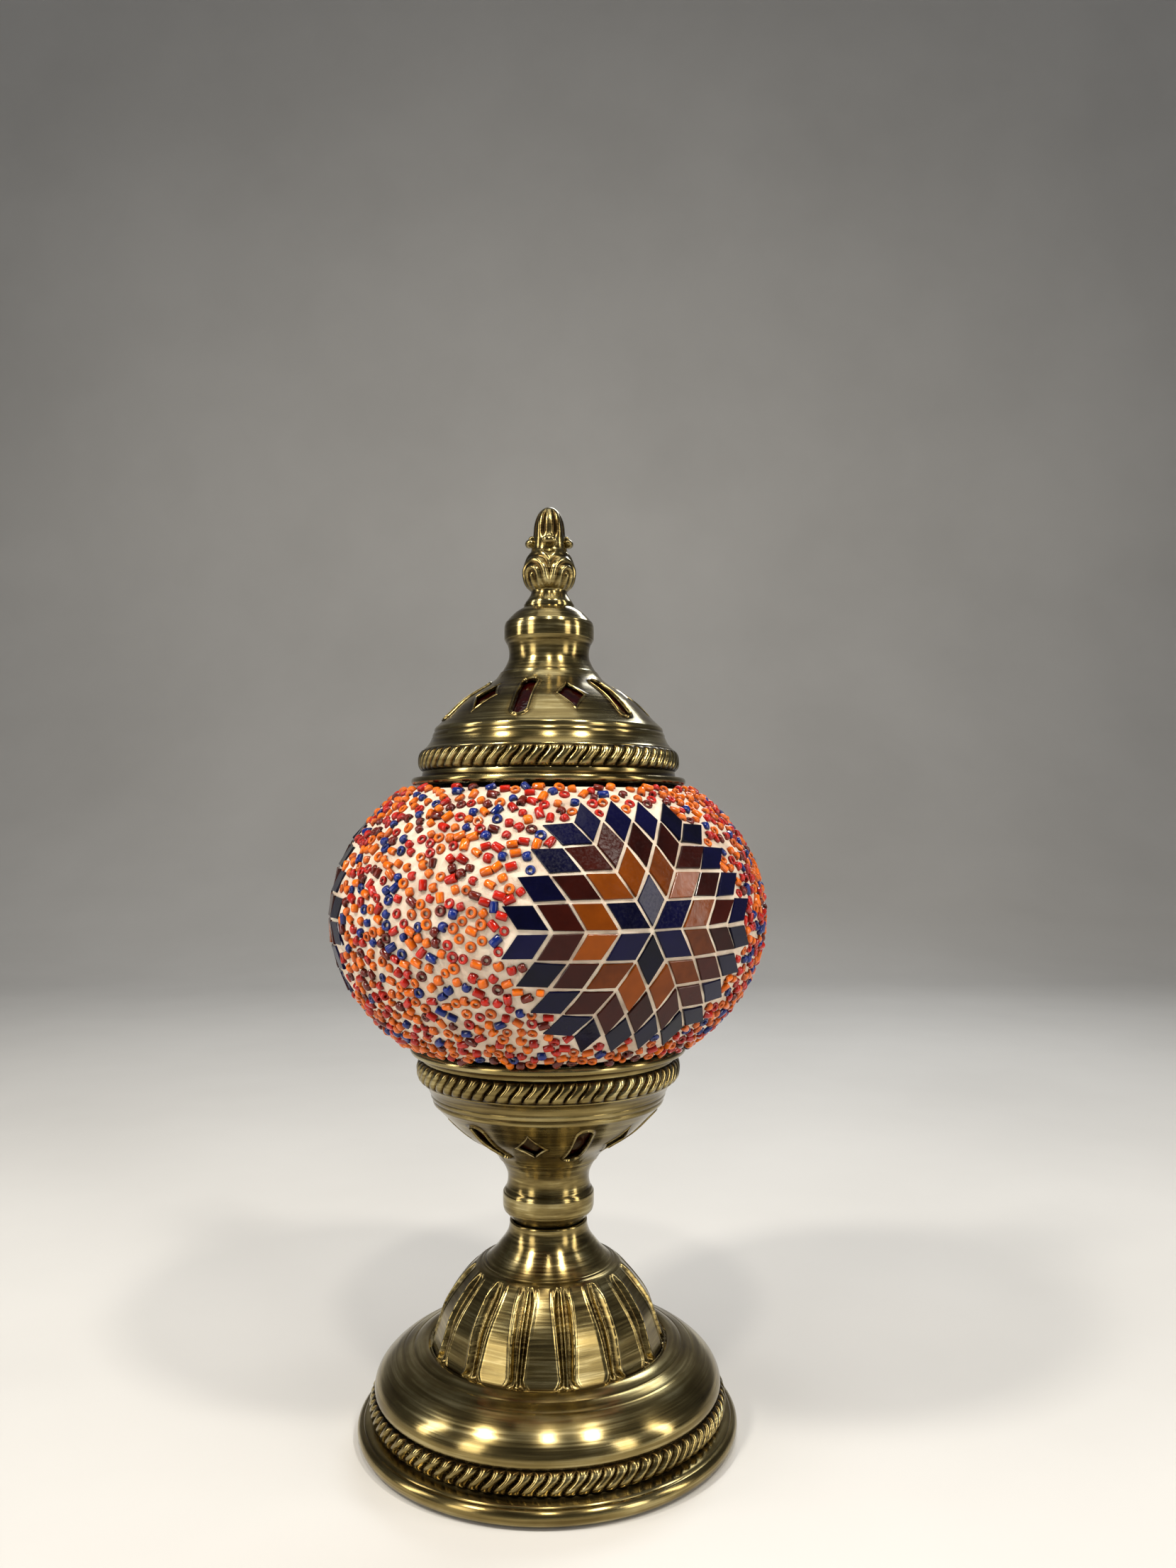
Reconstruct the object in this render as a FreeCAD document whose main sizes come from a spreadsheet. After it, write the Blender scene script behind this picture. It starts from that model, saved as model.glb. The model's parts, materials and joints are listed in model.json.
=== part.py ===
"""Mosaic glass table lamp: a pierced and rope-edged brass stand and cap round a blown glass globe.

Millimetres, +Z up, the front faces -Y, and the origin is on the table under the middle of the lamp.
The two caps are one stamping, used both ways up: they mirror about the globe's middle height.
"""
import FreeCAD, Part
import math
import os

import Sketcher
from FreeCAD import Placement, Rotation, Vector

SIZES = {
    # the stack
    "middle_height": (192.5, "height of the globe's centre above the table"),
    "sheet_wall": (1.0, "thickness of the spun brass"),
    # foot
    "felt_radius": (65.5, "felt pad"),
    "felt_thickness": (1.2, "felt pad"),
    "plate_radius": (65.2, "steel weight plate"),
    "plate_underside": (4.6, "height of the weight plate's lower face"),
    "plate_thickness": (2.0, "steel weight plate"),
    "rim_low": (0.6, "height of the rolled rim's lowest point"),
    "rim_radius": (71.2, "outside of the rolled rim"),
    "rim_top": (6.6, "height where the rolled rim meets the rope band"),
    "foot_rope_radius": (66.9, "outside of the foot's rope band"),
    "foot_rope_low": (8.0, "lower edge of the foot's rope band"),
    "foot_rope_high": (15.8, "upper edge of the foot's rope band"),
    "foot_shoulder_height": (32.0, "where the shoulder meets the fluted dome"),
    "dome_radius": (43.0, "fluted dome at its foot"),
    "dome_top_radius": (26.0, "fluted dome where the neck starts"),
    "dome_top_height": (61.0, "fluted dome where the neck starts"),
    "neck_radius": (14.8, "foot's neck"),
    "neck_top": (76.5, "upper edge of the foot's neck"),
    # cord inlet
    "inlet_height": (12.6, "axis of the cord inlet"),
    "inlet_bore": (3.1, "radius of the grommet's bore"),
    "inlet_groove": (4.4, "radius of the grommet's groove"),
    "inlet_flange": (5.2, "radius of the grommet's flanges"),
    "inlet_inner_end": (62.0, "grommet's inner end, from the lamp's axis"),
    "inlet_groove_start": (63.7, "start of the grommet's groove"),
    "inlet_groove_end": (67.0, "end of the grommet's groove"),
    "inlet_outer_end": (69.2, "grommet's outer end, from the lamp's axis"),
    # caps, as heights above the globe's middle
    "flange_radius": (52.7, "cap's flange"),
    "flange_edge": (48.7, "free edge of the flange"),
    "flange_back": (51.9, "back of the flange"),
    "cap_groove_radius": (48.9, "groove between the flange and the rope band"),
    "cap_rope_radius": (50.0, "outside of the cap's rope band"),
    "cap_rope_low": (54.4, "start of the cap's rope band"),
    "cap_rope_high": (62.2, "end of the cap's rope band"),
    "cone_start_radius": (42.9, "wide end of the pierced cone"),
    "cone_start": (71.6, "wide end of the pierced cone"),
    "cone_end_radius": (16.4, "narrow end of the pierced cone"),
    "cone_end": (95.6, "narrow end of the pierced cone"),
    "collar_radius": (17.4, "collar at the cap's small end"),
    "collar_middle": (107.8, "widest height of the collar"),
    "cap_end": (117.9, "cap's end wall"),
    "cap_end_radius": (10.2, "flat of the cap's end wall"),
    "windows": (6, "windows of each kind round a cap"),
    "slot_width": (4.8, "long window"),
    "slot_low": (74.2, "wide end of the long window"),
    "slot_high": (88.4, "narrow end of the long window"),
    "diamond_width": (9.2, "four-pointed window"),
    "diamond_low": (76.4, "wide end of the four-pointed window"),
    "diamond_high": (86.2, "narrow end of the four-pointed window"),
    "lower_cap_turn": (-10.8, "degrees from the front to a diamond window of the lower cap"),
    "upper_cap_turn": (14.3, "degrees from the front to a diamond window of the upper cap"),
    "liner_gap": (0.25, "between a cap and its liner"),
    "liner_wall": (0.8, "plastic liner"),
    "seat_inner_radius": (48.8, "rubber seat ring"),
    "seat_outer_radius": (51.3, "rubber seat ring"),
    "seat_low": (49.7, "seat ring's face towards the glass"),
    "seat_high": (50.7, "seat ring's face towards the cap"),
    # stem
    "tube_radius": (5.0, "M10 threaded tube"),
    "tube_bore": (3.4, "wire way of the threaded tube"),
    "tube_low": (1.5, "lower end of the threaded tube"),
    "tube_high": (127.0, "upper end of the threaded tube"),
    "tube_hole": (5.2, "clearance hole for the tube"),
    "wire_hole": (3.0, "cross hole where the wires enter the tube"),
    "wire_hole_height": (14.0, "cross hole where the wires enter the tube"),
    "tube_nut_flats": (14.0, "across the flats of the thin lamp nuts"),
    "tube_nut_height": (3.0, "thin lamp nut"),
    "washer_radius": (8.5, "washer on the tube"),
    "washer_thickness": (1.0, "washer on the tube"),
    # strap round the bulb and the rod above it
    "harp_low": (118.0, "underside of the strap"),
    "harp_high": (252.0, "top of the strap"),
    "harp_half_width": (33.0, "half the strap's outside width"),
    "harp_strap_width": (12.0, "width of the flat strip"),
    "harp_strap_thickness": (2.0, "thickness of the flat strip"),
    "harp_corner": (9.0, "outside corner radius"),
    "rod_radius": (3.0, "M6 rod"),
    "rod_low": (243.6, "lower end of the rod"),
    "rod_high": (323.5, "upper end of the rod"),
    "rod_hole": (3.3, "clearance hole for the rod"),
    "rod_nut_flats": (10.0, "across the flats of the M6 nuts"),
    "rod_nut_height": (5.0, "M6 nut"),
    # lamp holder, E14
    "holder_low": (121.2, "underside of the holder"),
    "holder_high": (164.0, "mouth of the holder"),
    "holder_radius": (14.0, "outside of the holder"),
    "holder_wall": (1.8, "holder's plastic shell"),
    "core_low": (137.0, "underside of the ceramic core"),
    "core_high": (143.0, "top of the ceramic core"),
    "sleeve_radius": (7.0, "inside of the screw sleeve"),
    "sleeve_wall": (0.5, "screw sleeve"),
    "sleeve_high": (162.0, "mouth of the screw sleeve"),
    "terminal_offset": (7.0, "terminal blocks, from the axis"),
    # bulb
    "bulb_cap_radius": (6.93, "outside of the screw cap"),
    "bulb_cap_low": (150.0, "lower end of the screw cap"),
    "bulb_cap_high": (167.0, "upper end of the screw cap"),
    "bulb_radius": (22.5, "bulb's glass ball"),
    "bulb_centre": (192.0, "centre of the bulb's glass ball"),
    "bulb_wall": (0.8, "bulb's glass"),
    # globe
    "glass_radius": (80.2, "outside of the bare glass at its middle"),
    "glass_half_height": (62.0, "outside of the bare glass, centre to pole"),
    "glass_wall": (2.5, "blown glass"),
    "mouth_radius": (44.5, "openings at the globe's two ends"),
    "grout_thickness": (0.9, "grout on the glass"),
    "grout_edge": (47.0, "where the grout stops, from the middle"),
    "bead_thickness": (2.1, "beads on the grout"),
    "bead_edge": (46.4, "where the beads stop, from the middle"),
    # star medallions of cut glass diamonds
    "medallions": (3, "star medallions round the globe"),
    "medallion_turn": (24.0, "degrees from the front to the first medallion"),
    "clearing_half_width": (49.0, "clearing in the beads round a medallion"),
    "clearing_half_height": (44.0, "clearing in the beads round a medallion"),
    "clearing_corner": (22.0, "corner radius of that clearing"),
    "tile_pitch": (11.0, "side of a diamond with its grout line"),
    "tile_grout": (1.1, "grout line between two diamonds"),
    "tile_thickness": (1.6, "cut glass"),
    "tile_lift": (0.05, "between a diamond and the grout under it"),
    # finial
    "finial_low": (311.8, "foot of the finial"),
    "finial_foot_radius": (9.4, "foot of the finial"),
    "finial_ball_radius": (10.3, "ribbed lower ball"),
    "finial_bud_radius": (9.4, "upper bud with its scrolls"),
    "finial_tip": (350.0, "tip of the finial"),
    "finial_bore": (3.05, "finial's threaded bore"),
    "finial_bore_end": (325.0, "end of the finial's bore"),
    "finial_washer_radius": (9.8, "washer under the finial"),
    "finial_washer_low": (310.6, "underside of that washer"),
}

doc = FreeCAD.newDocument("mosaic_lamp")
sheet = doc.addObject("Spreadsheet::Sheet", "sizes")
for row, (alias, (number, meaning)) in enumerate(SIZES.items(), start=1):
    sheet.set(f"A{row}", alias.replace("_", " "))
    sheet.set(f"B{row}", str(number))
    sheet.setAlias(f"B{row}", alias)
    sheet.set(f"C{row}", meaning)
doc.recompute()


class Size:
    """A length with the spreadsheet expression that gives it, so that what is drawn from it stays bound."""

    def __init__(self, value, text):
        self.value = value
        self.text = text

    def __add__(self, other):
        other = as_size(other)
        return Size(self.value + other.value, f"({self.text} + {other.text})")

    def __sub__(self, other):
        other = as_size(other)
        return Size(self.value - other.value, f"({self.text} - {other.text})")

    def __mul__(self, factor):
        return Size(self.value * factor, f"({self.text} * {factor:.14g})")

    def __neg__(self):
        return self * -1


def as_size(value):
    return value if isinstance(value, Size) else Size(float(value), f"{float(value):.14g}")


def size(alias):
    """The size that the sheet holds under that alias."""
    return Size(float(sheet.get(alias)), f"sizes.{alias}")


def bind(obj, **sizes):
    """Binds each named property of obj to its size."""
    for name, value in sizes.items():
        obj.setExpression(name, as_size(value).text)


class Through(tuple):
    """A point of an outline that the arc between its two neighbours passes through."""


def through(x, y):
    return Through((as_size(x), as_size(y)))


def corner(x, y):
    return as_size(x), as_size(y)


def at_middle(path):
    """The same path with its heights counted from the globe's middle."""
    middle = size("middle_height")
    return [type(p)((p[0], p[1] + middle)) for p in path]


def offset(path, distance):
    """The path moved sideways, to the right of its direction, by a distance that stays bound."""
    distance = as_size(distance)
    moved = []
    for i, point in enumerate(path):
        here = Vector(point[0].value, point[1].value, 0)
        sides = []
        for j in (i - 1, i):
            if 0 <= j < len(path) - 1:
                start = Vector(path[j][0].value, path[j][1].value, 0)
                end = Vector(path[j + 1][0].value, path[j + 1][1].value, 0)
                along = (end - start).normalize()
                sides.append(Vector(along.y, -along.x, 0))
        normal = sides[0] if len(sides) == 1 else sides[0] + sides[1]
        normal.normalize()
        stretch = 1 / max(0.5, normal.dot(sides[0]))
        place = here + normal * stretch * distance.value
        shift_x = (place.x - here.x) / distance.value
        shift_y = (place.y - here.y) / distance.value
        moved.append(type(point)((point[0] + distance * shift_x, point[1] + distance * shift_y)))
    return moved


def thin_wall(path, wall):
    """A closed outline: the path, and the path offset by the wall, back to the start."""
    return path + offset(path, wall)[::-1]


def new_body(label):
    body = doc.addObject("PartDesign::Body", label)
    body.Label = label
    return body


def new_sketch(body, name, role="XZ_Plane"):
    """A sketch on one of the body's own origin planes."""
    sketch = body.newObject("Sketcher::SketchObject", name)
    plane = next(f for f in body.Origin.OriginFeatures if f.Role == role)
    sketch.AttachmentSupport = [(plane, "")]
    sketch.MapMode = "FlatFace"
    return sketch


def place_point(rules, geometry, end, point):
    """Adds to the rules the two bound coordinates of one end of a line or arc."""
    for direction, value in zip(("DistanceX", "DistanceY"), point):
        rules.append((Sketcher.Constraint(direction, -1, 1, geometry, end, value.value), value.text))


def add_rules(sketch, rules):
    """Adds constraints to a sketch in one go, then binds each one that has an expression."""
    first = sketch.ConstraintCount
    sketch.addConstraint([rule for rule, _ in rules])
    for number, (_, text) in enumerate(rules, start=first):
        if text:
            sketch.setExpression(f"Constraints[{number}]", text)


def flat(point):
    return Vector(point[0].value, point[1].value, 0)


def draw_outline(sketch, path):
    """Draws a closed outline of lines and arcs, with every corner bound to the sheet."""
    drawn = []
    bulges = []
    corners = [i for i, p in enumerate(path) if not isinstance(p, Through)]
    for start, end in zip(corners, corners[1:] + corners[:1]):
        middle = path[(start + 1) % len(path)]
        here, there = flat(path[start]), flat(path[end])
        first, last = 1, 2
        if isinstance(middle, Through):
            bulge = flat(middle)
            if (bulge - here).cross(there - bulge).z < 0:
                here, there = there, here
                first, last = 2, 1
            number = sketch.addGeometry(Part.Arc(here, bulge, there), False)
            bulges.append((number, middle))
        else:
            number = sketch.addGeometry(Part.LineSegment(here, there), False)
        drawn.append((number, first, last, path[start]))
    rules = []
    for (number, first, last, point), after in zip(drawn, drawn[1:] + drawn[:1]):
        rules.append((Sketcher.Constraint("Coincident", number, last, after[0], after[1]), None))
        place_point(rules, number, first, point)
    for number, middle in bulges:
        dot = sketch.addGeometry(Part.Point(flat(middle)), True)
        place_point(rules, dot, 1, middle)
        rules.append((Sketcher.Constraint("PointOnObject", dot, 1, number), None))
    add_rules(sketch, rules)


def draw_circle(sketch, x, y, radius):
    centre = corner(x, y)
    number = sketch.addGeometry(Part.Circle(flat(centre), Vector(0, 0, 1), radius.value), False)
    rules = [(Sketcher.Constraint("Radius", number, radius.value), radius.text)]
    place_point(rules, number, 3, centre)
    add_rules(sketch, rules)


def turned_body(label, path, role="XZ_Plane", axis="V_Axis"):
    """A body turned on the lamp's axis from a closed outline of (radius, height) points."""
    body = new_body(label)
    sketch = new_sketch(body, f"{label}_outline", role)
    draw_outline(sketch, path)
    turn = body.newObject("PartDesign::Revolution", f"{label}_turn")
    turn.Profile = sketch
    turn.ReferenceAxis = (sketch, [axis])
    turn.Angle = 360
    doc.recompute()
    return body


def cut_through(body, sketch, name, backwards=False):
    """Cuts the sketch through one side of the body, and checks that metal went."""
    before = body.Shape.Volume
    pocket = body.newObject("PartDesign::Pocket", name)
    pocket.Profile = sketch
    pocket.Type = "ThroughAll"
    pocket.Reversed = backwards
    doc.recompute()
    if body.Shape.Volume > before - 0.01:
        raise RuntimeError(f"{name} cut nothing")
    return pocket


def round_the_axis(body, feature, count, name):
    """Repeats a feature evenly round the lamp's axis."""
    pattern = body.newObject("PartDesign::PolarPattern", name)
    pattern.Originals = [feature]
    vertical = next(f for f in body.Origin.OriginFeatures if f.Role == "Z_Axis")
    pattern.Axis = (vertical, [""])
    pattern.Angle = 360
    pattern.setExpression("Occurrences", f"sizes.{count}")
    body.Tip = pattern
    doc.recompute()
    return pattern


def hexagon_nut(name, low, flats, height, hole):
    """A chamfered hexagon nut with a plain bore, standing on the height low."""
    prism = doc.addObject("Part::Prism", f"{name}_prism")
    prism.Polygon = 6
    bind(prism, Circumradius=flats * (1 / math.sqrt(3)), Height=height)
    blank = doc.addObject("Part::Cylinder", f"{name}_blank")
    bind(blank, Radius=flats * 0.565, Height=height)
    turned = doc.addObject("Part::Chamfer", f"{name}_turned")
    turned.Base = blank
    turned.Edges = [(1, 0.6, 0.6), (3, 0.6, 0.6)]
    shaped = doc.addObject("Part::Common", f"{name}_shaped")
    shaped.Base = prism
    shaped.Tool = turned
    drill = doc.addObject("Part::Cylinder", f"{name}_drill")
    bind(drill, Radius=hole, Height=height)
    nut = doc.addObject("Part::Cut", name)
    nut.Base = shaped
    nut.Tool = drill
    nut.Placement.Base = Vector(0, 0, low.value)
    nut.setExpression("Placement.Base.z", low.text)
    return nut


def ring(name, low, thickness, outer, inner):
    """A flat ring on the lamp's axis."""
    disc = doc.addObject("Part::Cylinder", f"{name}_disc")
    bind(disc, Radius=outer, Height=thickness)
    hole = doc.addObject("Part::Cylinder", f"{name}_hole")
    bind(hole, Radius=inner, Height=thickness)
    cut = doc.addObject("Part::Cut", name)
    cut.Base = disc
    cut.Tool = hole
    cut.setExpression("Placement.Base.z", low.text)
    return cut


def group(label, members):
    """Several separate solids that share one node."""
    compound = doc.addObject("Part::Compound", label)
    compound.Label = label
    compound.Links = members
    return compound


def labelled(obj, label):
    obj.Label = label
    return obj


# ---------------------------------------------------------------- foot

def make_base_shell():
    """The spun foot: rolled rim, rope band, shoulder, dome and neck, with the cord hole at the back."""
    rim = size("rim_radius")
    rope = size("foot_rope_radius")
    shoulder = size("foot_shoulder_height")
    dome = size("dome_radius")
    top = size("dome_top_height")
    top_radius = size("dome_top_radius")
    neck = size("neck_radius")
    outside = [
        corner(neck, size("neck_top")),
        corner(neck + 0.3, size("neck_top") - 3.5),
        through(neck + 4.4, top + 5.4),
        corner(top_radius, top),
        through(top_radius + 5.8, top - 5.2),
        corner(dome - 6.5, top - 11.5),
        through(dome - 2.2, shoulder + 8.5),
        corner(dome, shoulder),
        corner(dome + 7, shoulder - 1),
        through(dome + 12.6, shoulder - 2.9),
        corner(dome + 17, shoulder - 6.2),
        through(rope - 3.8, shoulder - 8.6),
        corner(rope - 2.4, size("foot_rope_high") + 3.4),
        corner(rope - 1.3, size("foot_rope_high")),
        through(rope, (size("foot_rope_low") + size("foot_rope_high")) * 0.5),
        corner(rope - 1.3, size("foot_rope_low")),
        corner(rim - 4.0, size("rim_top")),
        through(rim, (size("rim_top") + size("rim_low")) * 0.5),
        corner(rim - 4.6, size("rim_low")),
    ]
    body = turned_body("base_shell", thin_wall(outside, size("sheet_wall")))
    hole = new_sketch(body, "cord_hole")
    draw_circle(hole, 0, size("inlet_height"), size("inlet_groove") + 0.1)
    cut_through(body, hole, "cord_hole_cut")
    return body


def make_cord_grommet():
    """A flanged bush whose groove holds the edge of the cord hole; it is turned on the inlet's own axis."""
    body = new_body("cord_grommet")
    height = size("inlet_height")
    sketch = new_sketch(body, "grommet_outline", "YZ_Plane")
    bore = height + size("inlet_bore")
    groove = height + size("inlet_groove")
    flange = height + size("inlet_flange")
    inner = size("inlet_inner_end")
    outer = size("inlet_outer_end")
    draw_outline(sketch, [
        corner(inner, bore),
        corner(inner, flange - 0.6),
        corner(inner + 0.6, flange),
        corner(size("inlet_groove_start"), flange),
        corner(size("inlet_groove_start"), groove),
        corner(size("inlet_groove_end"), groove),
        corner(size("inlet_groove_end"), flange),
        corner(outer - 1.2, flange),
        through(outer - 0.3, flange - 0.5),
        corner(outer, flange - 1.3),
        corner(outer, bore),
    ])
    ends = corner(inner, height), corner(outer, height)
    axis = sketch.addGeometry(Part.LineSegment(flat(ends[0]), flat(ends[1])), True)
    rules = []
    for end, point in enumerate(ends, start=1):
        place_point(rules, axis, end, point)
    add_rules(sketch, rules)
    turn = body.newObject("PartDesign::Revolution", "grommet_turn")
    turn.Profile = sketch
    turn.ReferenceAxis = (sketch, ["Axis0"])
    turn.Angle = 360
    return body


def make_foot():
    make_base_shell()
    make_cord_grommet()
    plate = ring("weight_plate", size("plate_underside"), size("plate_thickness"), size("plate_radius"),
                 size("tube_hole"))
    labelled(plate, "weight_plate")
    felt = doc.addObject("Part::Cylinder", "felt_pad")
    bind(felt, Radius=size("felt_radius"), Height=size("felt_thickness"))
    labelled(felt, "felt_pad")


# ---------------------------------------------------------------- caps

def cap_cone():
    """The pierced cone of a cap, from its narrow end to its wide end, in heights above the globe's middle."""
    narrow = size("cone_end_radius")
    wide = size("cone_start_radius")
    return [
        corner(narrow, size("cone_end")),
        through(narrow + 4.4, size("cone_end") - 6.0),
        corner(narrow + 12.4, size("cone_end") - 11.4),
        through(wide - 6.7, size("cone_start") + 6.8),
        corner(wide, size("cone_start")),
    ]


def cap_outline(hole):
    """The outside of a cap from its end hole to the free edge of its flange."""
    end = size("cap_end")
    groove = size("cap_groove_radius")
    back = size("flange_back")
    flange = size("flange_radius")
    return [
        corner(hole, end),
        corner(size("cap_end_radius"), end),
        corner(size("cap_end_radius") + 4.3, end - 2.6),
        corner(size("collar_radius") - 0.6, end - 5.8),
        through(size("collar_radius"), size("collar_middle")),
        corner(size("collar_radius") - 1.8, end - 16.4),
        corner(size("collar_radius") - 1.9, end - 18.9),
        *cap_cone(),
        corner(size("cone_start_radius") + 1.0, size("cone_start") - 0.7),
        corner(size("cone_start_radius") + 1.7, size("cap_rope_high") + 5.8),
        corner(groove - 1.0, size("cap_rope_high")),
        through(size("cap_rope_radius"), (size("cap_rope_low") + size("cap_rope_high")) * 0.5),
        corner(groove, size("cap_rope_low")),
        corner(groove + 0.5, back + 0.4),
        corner(flange - 0.3, back),
        through(flange + 0.3, (back + size("flange_edge")) * 0.5),
        corner(flange, size("flange_edge")),
    ]


def make_cap(label, hole, upside_down, turn):
    """One cap: the spun shell, then its long and four-pointed windows by turns round its cone."""
    middle = size("middle_height")
    body = turned_body(label, thin_wall(at_middle(cap_outline(hole)), size("sheet_wall")))
    low = middle + size("slot_low")
    high = middle + size("slot_high")
    half = size("slot_width") * 0.5
    slot = new_sketch(body, f"{label}_slot")
    slot.AttachmentOffset = Placement(Vector(0, 0, 0), Rotation(Vector(0, 1, 0), 30))
    slot.setExpression("AttachmentOffset.Rotation.Angle", "180 / sizes.windows")
    draw_outline(slot, [
        corner(half, low + half),
        corner(half * 0.8, high - half),
        through(0, high),
        corner(half * -0.8, high - half),
        corner(-half, low + half),
        through(0, low),
    ])
    slot_cut = cut_through(body, slot, f"{label}_slot_cut")
    round_the_axis(body, slot_cut, "windows", f"{label}_slots")
    diamond = new_sketch(body, f"{label}_diamond")
    tip = size("diamond_width") * 0.5
    bottom = middle + size("diamond_low")
    top = middle + size("diamond_high")
    level = (bottom + top) * 0.5
    waist = tip * 0.36
    waist_rise = 1.9
    draw_outline(diamond, [
        corner(tip, level),
        through(waist, level + waist_rise),
        corner(0, top),
        through(-waist, level + waist_rise),
        corner(-tip, level),
        through(-waist, level - waist_rise),
        corner(0, bottom),
        through(waist, level - waist_rise),
    ])
    diamond_cut = cut_through(body, diamond, f"{label}_diamond_cut", backwards=True)
    round_the_axis(body, diamond_cut, "windows", f"{label}_diamonds")
    stand(body, upside_down, turn)
    return body


def stand(body, upside_down, turn):
    """Turns a cap's piece to its place round the axis, and over for the lower cap."""
    spin = Rotation(Vector(0, 0, 1), float(sheet.get(turn)))
    if upside_down:
        over = Rotation(Vector(1, 0, 0), 180)
        half_turn = Rotation(Vector(0, 0, 1), 180)
        body.Placement = Placement(Vector(0, 0, 0), spin.multiply(half_turn).multiply(over))
        body.setExpression("Placement.Base.z", "2 * sizes.middle_height")
    else:
        body.Placement = Placement(Vector(0, 0, 0), spin)


def make_cap_set(side, hole, upside_down, turn):
    """A cap with its plastic liner and its seat ring."""
    make_cap(f"{side}_cap", hole, upside_down, turn)
    behind = offset(at_middle(cap_cone()), size("sheet_wall") + size("liner_gap"))
    liner = turned_body(f"{side}_liner", thin_wall(behind, size("liner_wall")))
    stand(liner, upside_down, turn)
    low = at_middle([corner(size("seat_inner_radius"), size("seat_low"))])[0][1]
    high = at_middle([corner(size("seat_inner_radius"), size("seat_high"))])[0][1]
    inner = size("seat_inner_radius")
    outer = size("seat_outer_radius")
    seat = turned_body(f"{side}_seat_ring", [corner(inner, low), corner(outer, low), corner(outer, high),
                                             corner(inner, high)])
    stand(seat, upside_down, turn)


# ---------------------------------------------------------------- stem, strap and rod

def make_stem():
    """The threaded tube with its thin nuts and washers."""
    tube = turned_body("threaded_tube", [
        corner(size("tube_bore"), size("tube_low")),
        corner(size("tube_radius") - 0.6, size("tube_low")),
        corner(size("tube_radius"), size("tube_low") + 0.6),
        corner(size("tube_radius"), size("tube_high") - 0.6),
        corner(size("tube_radius") - 0.6, size("tube_high")),
        corner(size("tube_bore"), size("tube_high")),
    ])
    wire_hole = new_sketch(tube, "wire_hole")
    draw_circle(wire_hole, 0, size("wire_hole_height"), size("wire_hole"))
    cut_through(tube, wire_hole, "wire_hole_cut")
    nut = size("tube_nut_height")
    thick = size("washer_thickness")
    cap_floor = size("middle_height") - size("cap_end") + size("sheet_wall") + 0.1
    nut_places = [
        size("plate_underside") - nut,
        cap_floor + thick,
        size("harp_low") - thick - nut,
    ]
    washer_places = [cap_floor, size("harp_low") - thick, size("harp_low") + size("harp_strap_thickness")]
    nuts = [hexagon_nut(f"tube_nut_{i}", low, size("tube_nut_flats"), nut, size("tube_radius") + 0.03)
            for i, low in enumerate(nut_places, start=1)]
    group("tube_nuts", nuts)
    washers = [ring(f"tube_washer_{i}", low, thick, size("washer_radius"), size("tube_hole"))
               for i, low in enumerate(washer_places, start=1)]
    group("tube_washers", washers)


def rounded_rectangle(half_width, low, high, radius):
    """A closed outline with four round corners, upright and centred on the lamp's axis."""
    soft = radius * (1 - math.sqrt(0.5))
    return [
        corner(half_width, low + radius),
        corner(half_width, high - radius),
        through(half_width - soft, high - soft),
        corner(half_width - radius, high),
        corner(radius - half_width, high),
        through(soft - half_width, high - soft),
        corner(-half_width, high - radius),
        corner(-half_width, low + radius),
        through(soft - half_width, low + soft),
        corner(radius - half_width, low),
        corner(half_width - radius, low),
        through(half_width - soft, low + soft),
    ]


def make_harp():
    """A flat steel strip bent into a closed loop round the bulb, drilled for the tube and for the rod."""
    body = new_body("harp_bracket")
    thickness = size("harp_strap_thickness")
    sketch = new_sketch(body, "harp_loop")
    half = size("harp_half_width")
    draw_outline(sketch, rounded_rectangle(half, size("harp_low"), size("harp_high"), size("harp_corner")))
    draw_outline(sketch, rounded_rectangle(half - thickness, size("harp_low") + thickness,
                                           size("harp_high") - thickness, size("harp_corner") - thickness))
    strip = body.newObject("PartDesign::Pad", "harp_strip")
    strip.Profile = sketch
    strip.Midplane = True
    bind(strip, Length=size("harp_strap_width"))
    doc.recompute()
    rod_hole = new_sketch(body, "rod_hole", "XY_Plane")
    draw_circle(rod_hole, 0, 0, size("rod_hole"))
    cut_through(body, rod_hole, "rod_hole_cut", backwards=True)
    tube_hole = new_sketch(body, "tube_hole", "XY_Plane")
    draw_circle(tube_hole, 0, 0, size("tube_hole"))
    before = body.Shape.Volume
    drill = body.newObject("PartDesign::Pocket", "tube_hole_cut")
    drill.Profile = tube_hole
    drill.Reversed = True
    bind(drill, Length=size("harp_low") + size("harp_corner"))
    doc.recompute()
    if body.Shape.Volume > before - 0.01:
        raise RuntimeError("the tube hole cut nothing")


def make_rod():
    """The M6 rod above the strap, clamped by two nuts."""
    rod = size("rod_radius")
    low = size("rod_low")
    high = size("rod_high")
    turned_body("top_rod", [
        corner(0, low),
        corner(rod - 0.6, low),
        corner(rod, low + 0.6),
        corner(rod, high - 0.8),
        corner(rod - 0.8, high),
        corner(0, high),
    ])
    nut = size("rod_nut_height")
    places = [size("harp_high") - size("harp_strap_thickness") - nut - 0.02, size("harp_high") + 0.02]
    nuts = [hexagon_nut(f"rod_nut_{i}", place, size("rod_nut_flats"), nut, rod + 0.03)
            for i, place in enumerate(places, start=1)]
    group("top_rod_nuts", nuts)


# ---------------------------------------------------------------- lamp holder

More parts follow.
